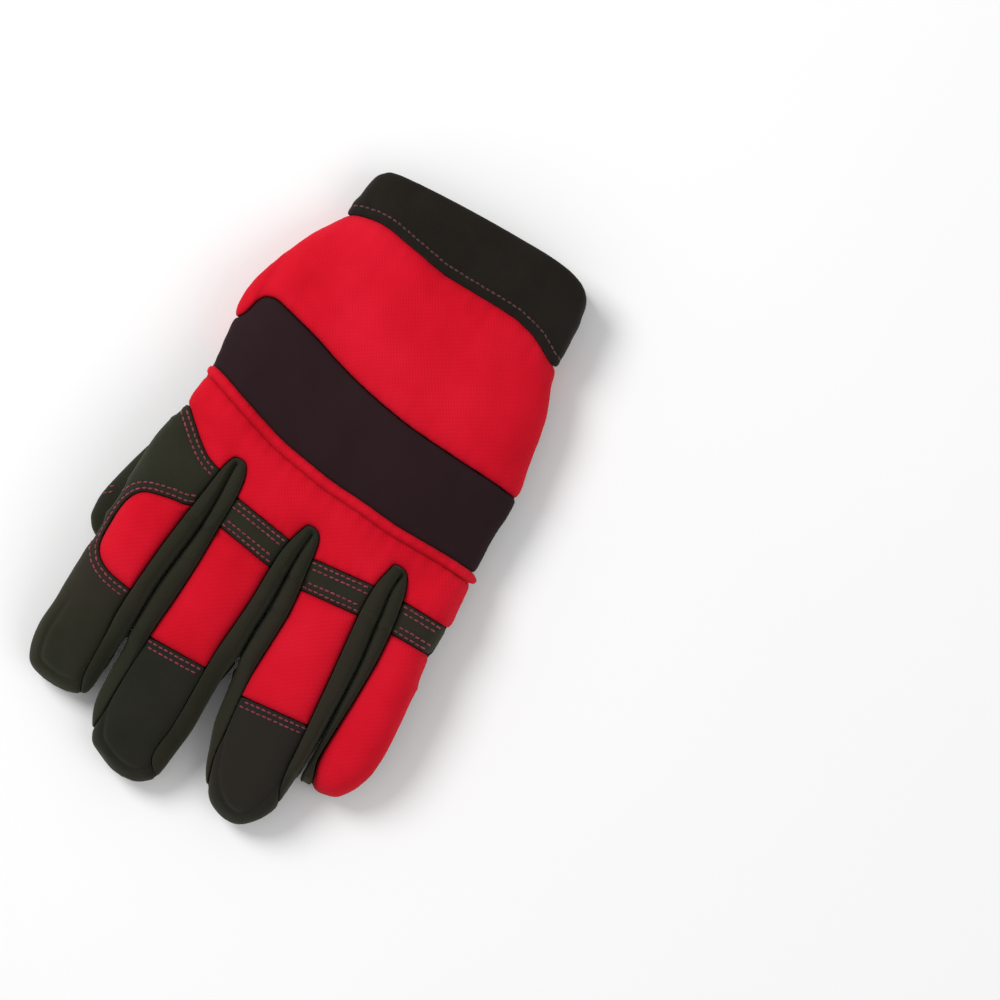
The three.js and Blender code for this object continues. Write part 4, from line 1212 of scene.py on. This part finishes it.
def sew_back():
    cuff_row = [offset_curve(seam_curve(CUFF_SEAM), 3.2)]
    stitches("stitches_cuff", DIM_THREAD, cuff_row, ["cuff_band"], "back")
    index_rows = double(seam_curve(INDEX_SEAM), INNER_ROWS)
    patch = plan_curve(points_of(INDEX_PATCH), closed=True)
    index_rows += double(patch, INNER_ROWS, closed=True)
    stitches("stitches_index", THREAD, index_rows, ["index_back"], "back")
    across = np.linspace(-40, 62, 300)
    strap_rows = []
    for inward in (FIRST_ROW, SECOND_ROW, STRAP_WIDTH - SECOND_ROW, STRAP_WIDTH - FIRST_ROW):
        for low, high in zip([-60, *GAP_CENTRES[1:]], [*GAP_CENTRES[1:], 66]):
            x = across[(across > low) & (across < high)]
            strap_rows.append(np.stack([x, strap_line(x) - inward], 1))
    names = [f"knuckle_strip_{name}" for name in STRAPS]
    stitches("stitches_straps", THREAD, strap_rows, names, "back")
    cap_rows = []
    for start, along, end, to_along in CAP_SEAMS.values():
        x = np.linspace(start, end, 40) * PALM_WIDTH
        y = np.linspace(along, to_along, 40) * BACK_LENGTH
        cap_rows += double(np.stack([x, y], 1), INNER_ROWS)
    stitches("stitches_caps", THREAD, cap_rows, ["middle_cap", "ring_cap"], "back")


def sew_palm():
    edge_rows = double(plan_curve(THUMB_EDGE_STITCHES), PAIR)
    stitches("stitches_thumb_edge", THREAD, edge_rows, ["thumb_leather"], "back")
    thumb_row = [offset_curve(plan_curve(points_of(THUMB_SEAM)), -1.3)]
    thumb_row += double(plan_curve(THUMB_ARC), PAIR)
    stitches("stitches_thumb", THREAD, thumb_row, ["thumb_leather"], "palm")
    for name, loop in PADS.items():
        curve = plan_curve(points_of(loop), closed=True)
        rows = double(curve, PAD_ROWS, closed=True)
        stitches(f"stitches_{name}", THREAD, rows, [name], "palm")
    palm_rows = double(plan_curve(WRIST_STITCHES), PAIR)
    palm_rows += double(plan_curve(INDEX_EDGE_STITCHES), PAIR)
    palm_rows += [offset_curve(seam_curve(PALM_SEAM), -1.5)]
    stitches("stitches_palm", THREAD, palm_rows, ["palm_leather"], "palm")


sew_back()
sew_palm()


# Stage
FLOOR_REACH = 4000.0


def make_floor():
    corners = np.array([(-1, -1, 0), (1, -1, 0), (1, 1, 0), (-1, 1, 0)], float) * FLOOR_REACH
    floor = make_object("floor", corners, [[0, 1, 2, 3]], 4, smooth=False)
    look = Look("floor", None)
    pale = look.ramp(look.noise(3, 2), 0.3, 0.7, [(0.94, 0.94, 0.94), (0.955, 0.955, 0.955)])
    look.finish(pale, 0.9, look.bump(look.noise(40, 2), 0.02, 0.05), specular=0.1)
    floor.data.materials.append(look.material)


def make_light(name, place, size, power, aim):
    data = bpy.data.lights.new(name, "AREA")
    data.shape = "DISK"
    data.size = size
    data.energy = power
    light = bpy.data.objects.new(name, data)
    light.location = place
    light.rotation_mode = "QUATERNION"
    light.rotation_quaternion = (Vector(aim) - Vector(place)).to_track_quat("-Z", "Y")
    bpy.context.scene.collection.objects.link(light)


# The photograph looks straight down on the glove, which lies turned by 30 degrees in it.
CAMERA_AZIMUTH = 30.0
CAMERA_ELEVATION = 88.0
CAMERA_AIM = (0.0567, 0.0334, 0.018)
CAMERA_DISTANCE = 1.5
FRAME_WIDTH = 0.35
SENSOR = 36.0


def make_camera():
    turn, tilt = math.radians(CAMERA_AZIMUTH), math.radians(CAMERA_ELEVATION)
    back = Vector((math.sin(turn) * math.cos(tilt), -math.cos(turn) * math.cos(tilt), math.sin(tilt)))
    data = bpy.data.cameras.new("camera")
    data.sensor_width = SENSOR
    data.lens = SENSOR * CAMERA_DISTANCE / FRAME_WIDTH
    data.clip_start = 0.05
    data.clip_end = 20
    camera = bpy.data.objects.new("camera", data)
    camera.location = Vector(CAMERA_AIM) + back * CAMERA_DISTANCE
    camera.rotation_mode = "QUATERNION"
    camera.rotation_quaternion = (-back).to_track_quat("-Z", "Y")
    bpy.context.scene.collection.objects.link(camera)
    bpy.context.scene.camera = camera


def make_lights():
    turn = math.radians(CAMERA_AZIMUTH)
    right = Vector((math.cos(turn), math.sin(turn), 0))
    up = Vector((-math.sin(turn), math.cos(turn), 0))
    make_light("key", -0.75 * right + 0.75 * up + Vector((0, 0, 1.1)), 0.7, 15, (0, 0, 0))
    make_light("fill", 0.9 * right - 0.5 * up + Vector((0, 0, 1.3)), 1.2, 5, (0, 0, 0))
    world = bpy.data.worlds.new("world")
    world.use_nodes = True
    world.node_tree.nodes["Background"].inputs[0].default_value = (1, 1, 1, 1)
    world.node_tree.nodes["Background"].inputs[1].default_value = 0.5
    bpy.context.scene.world = world


make_floor()
make_camera()
make_lights()
bpy.context.scene.view_settings.view_transform = "Standard"
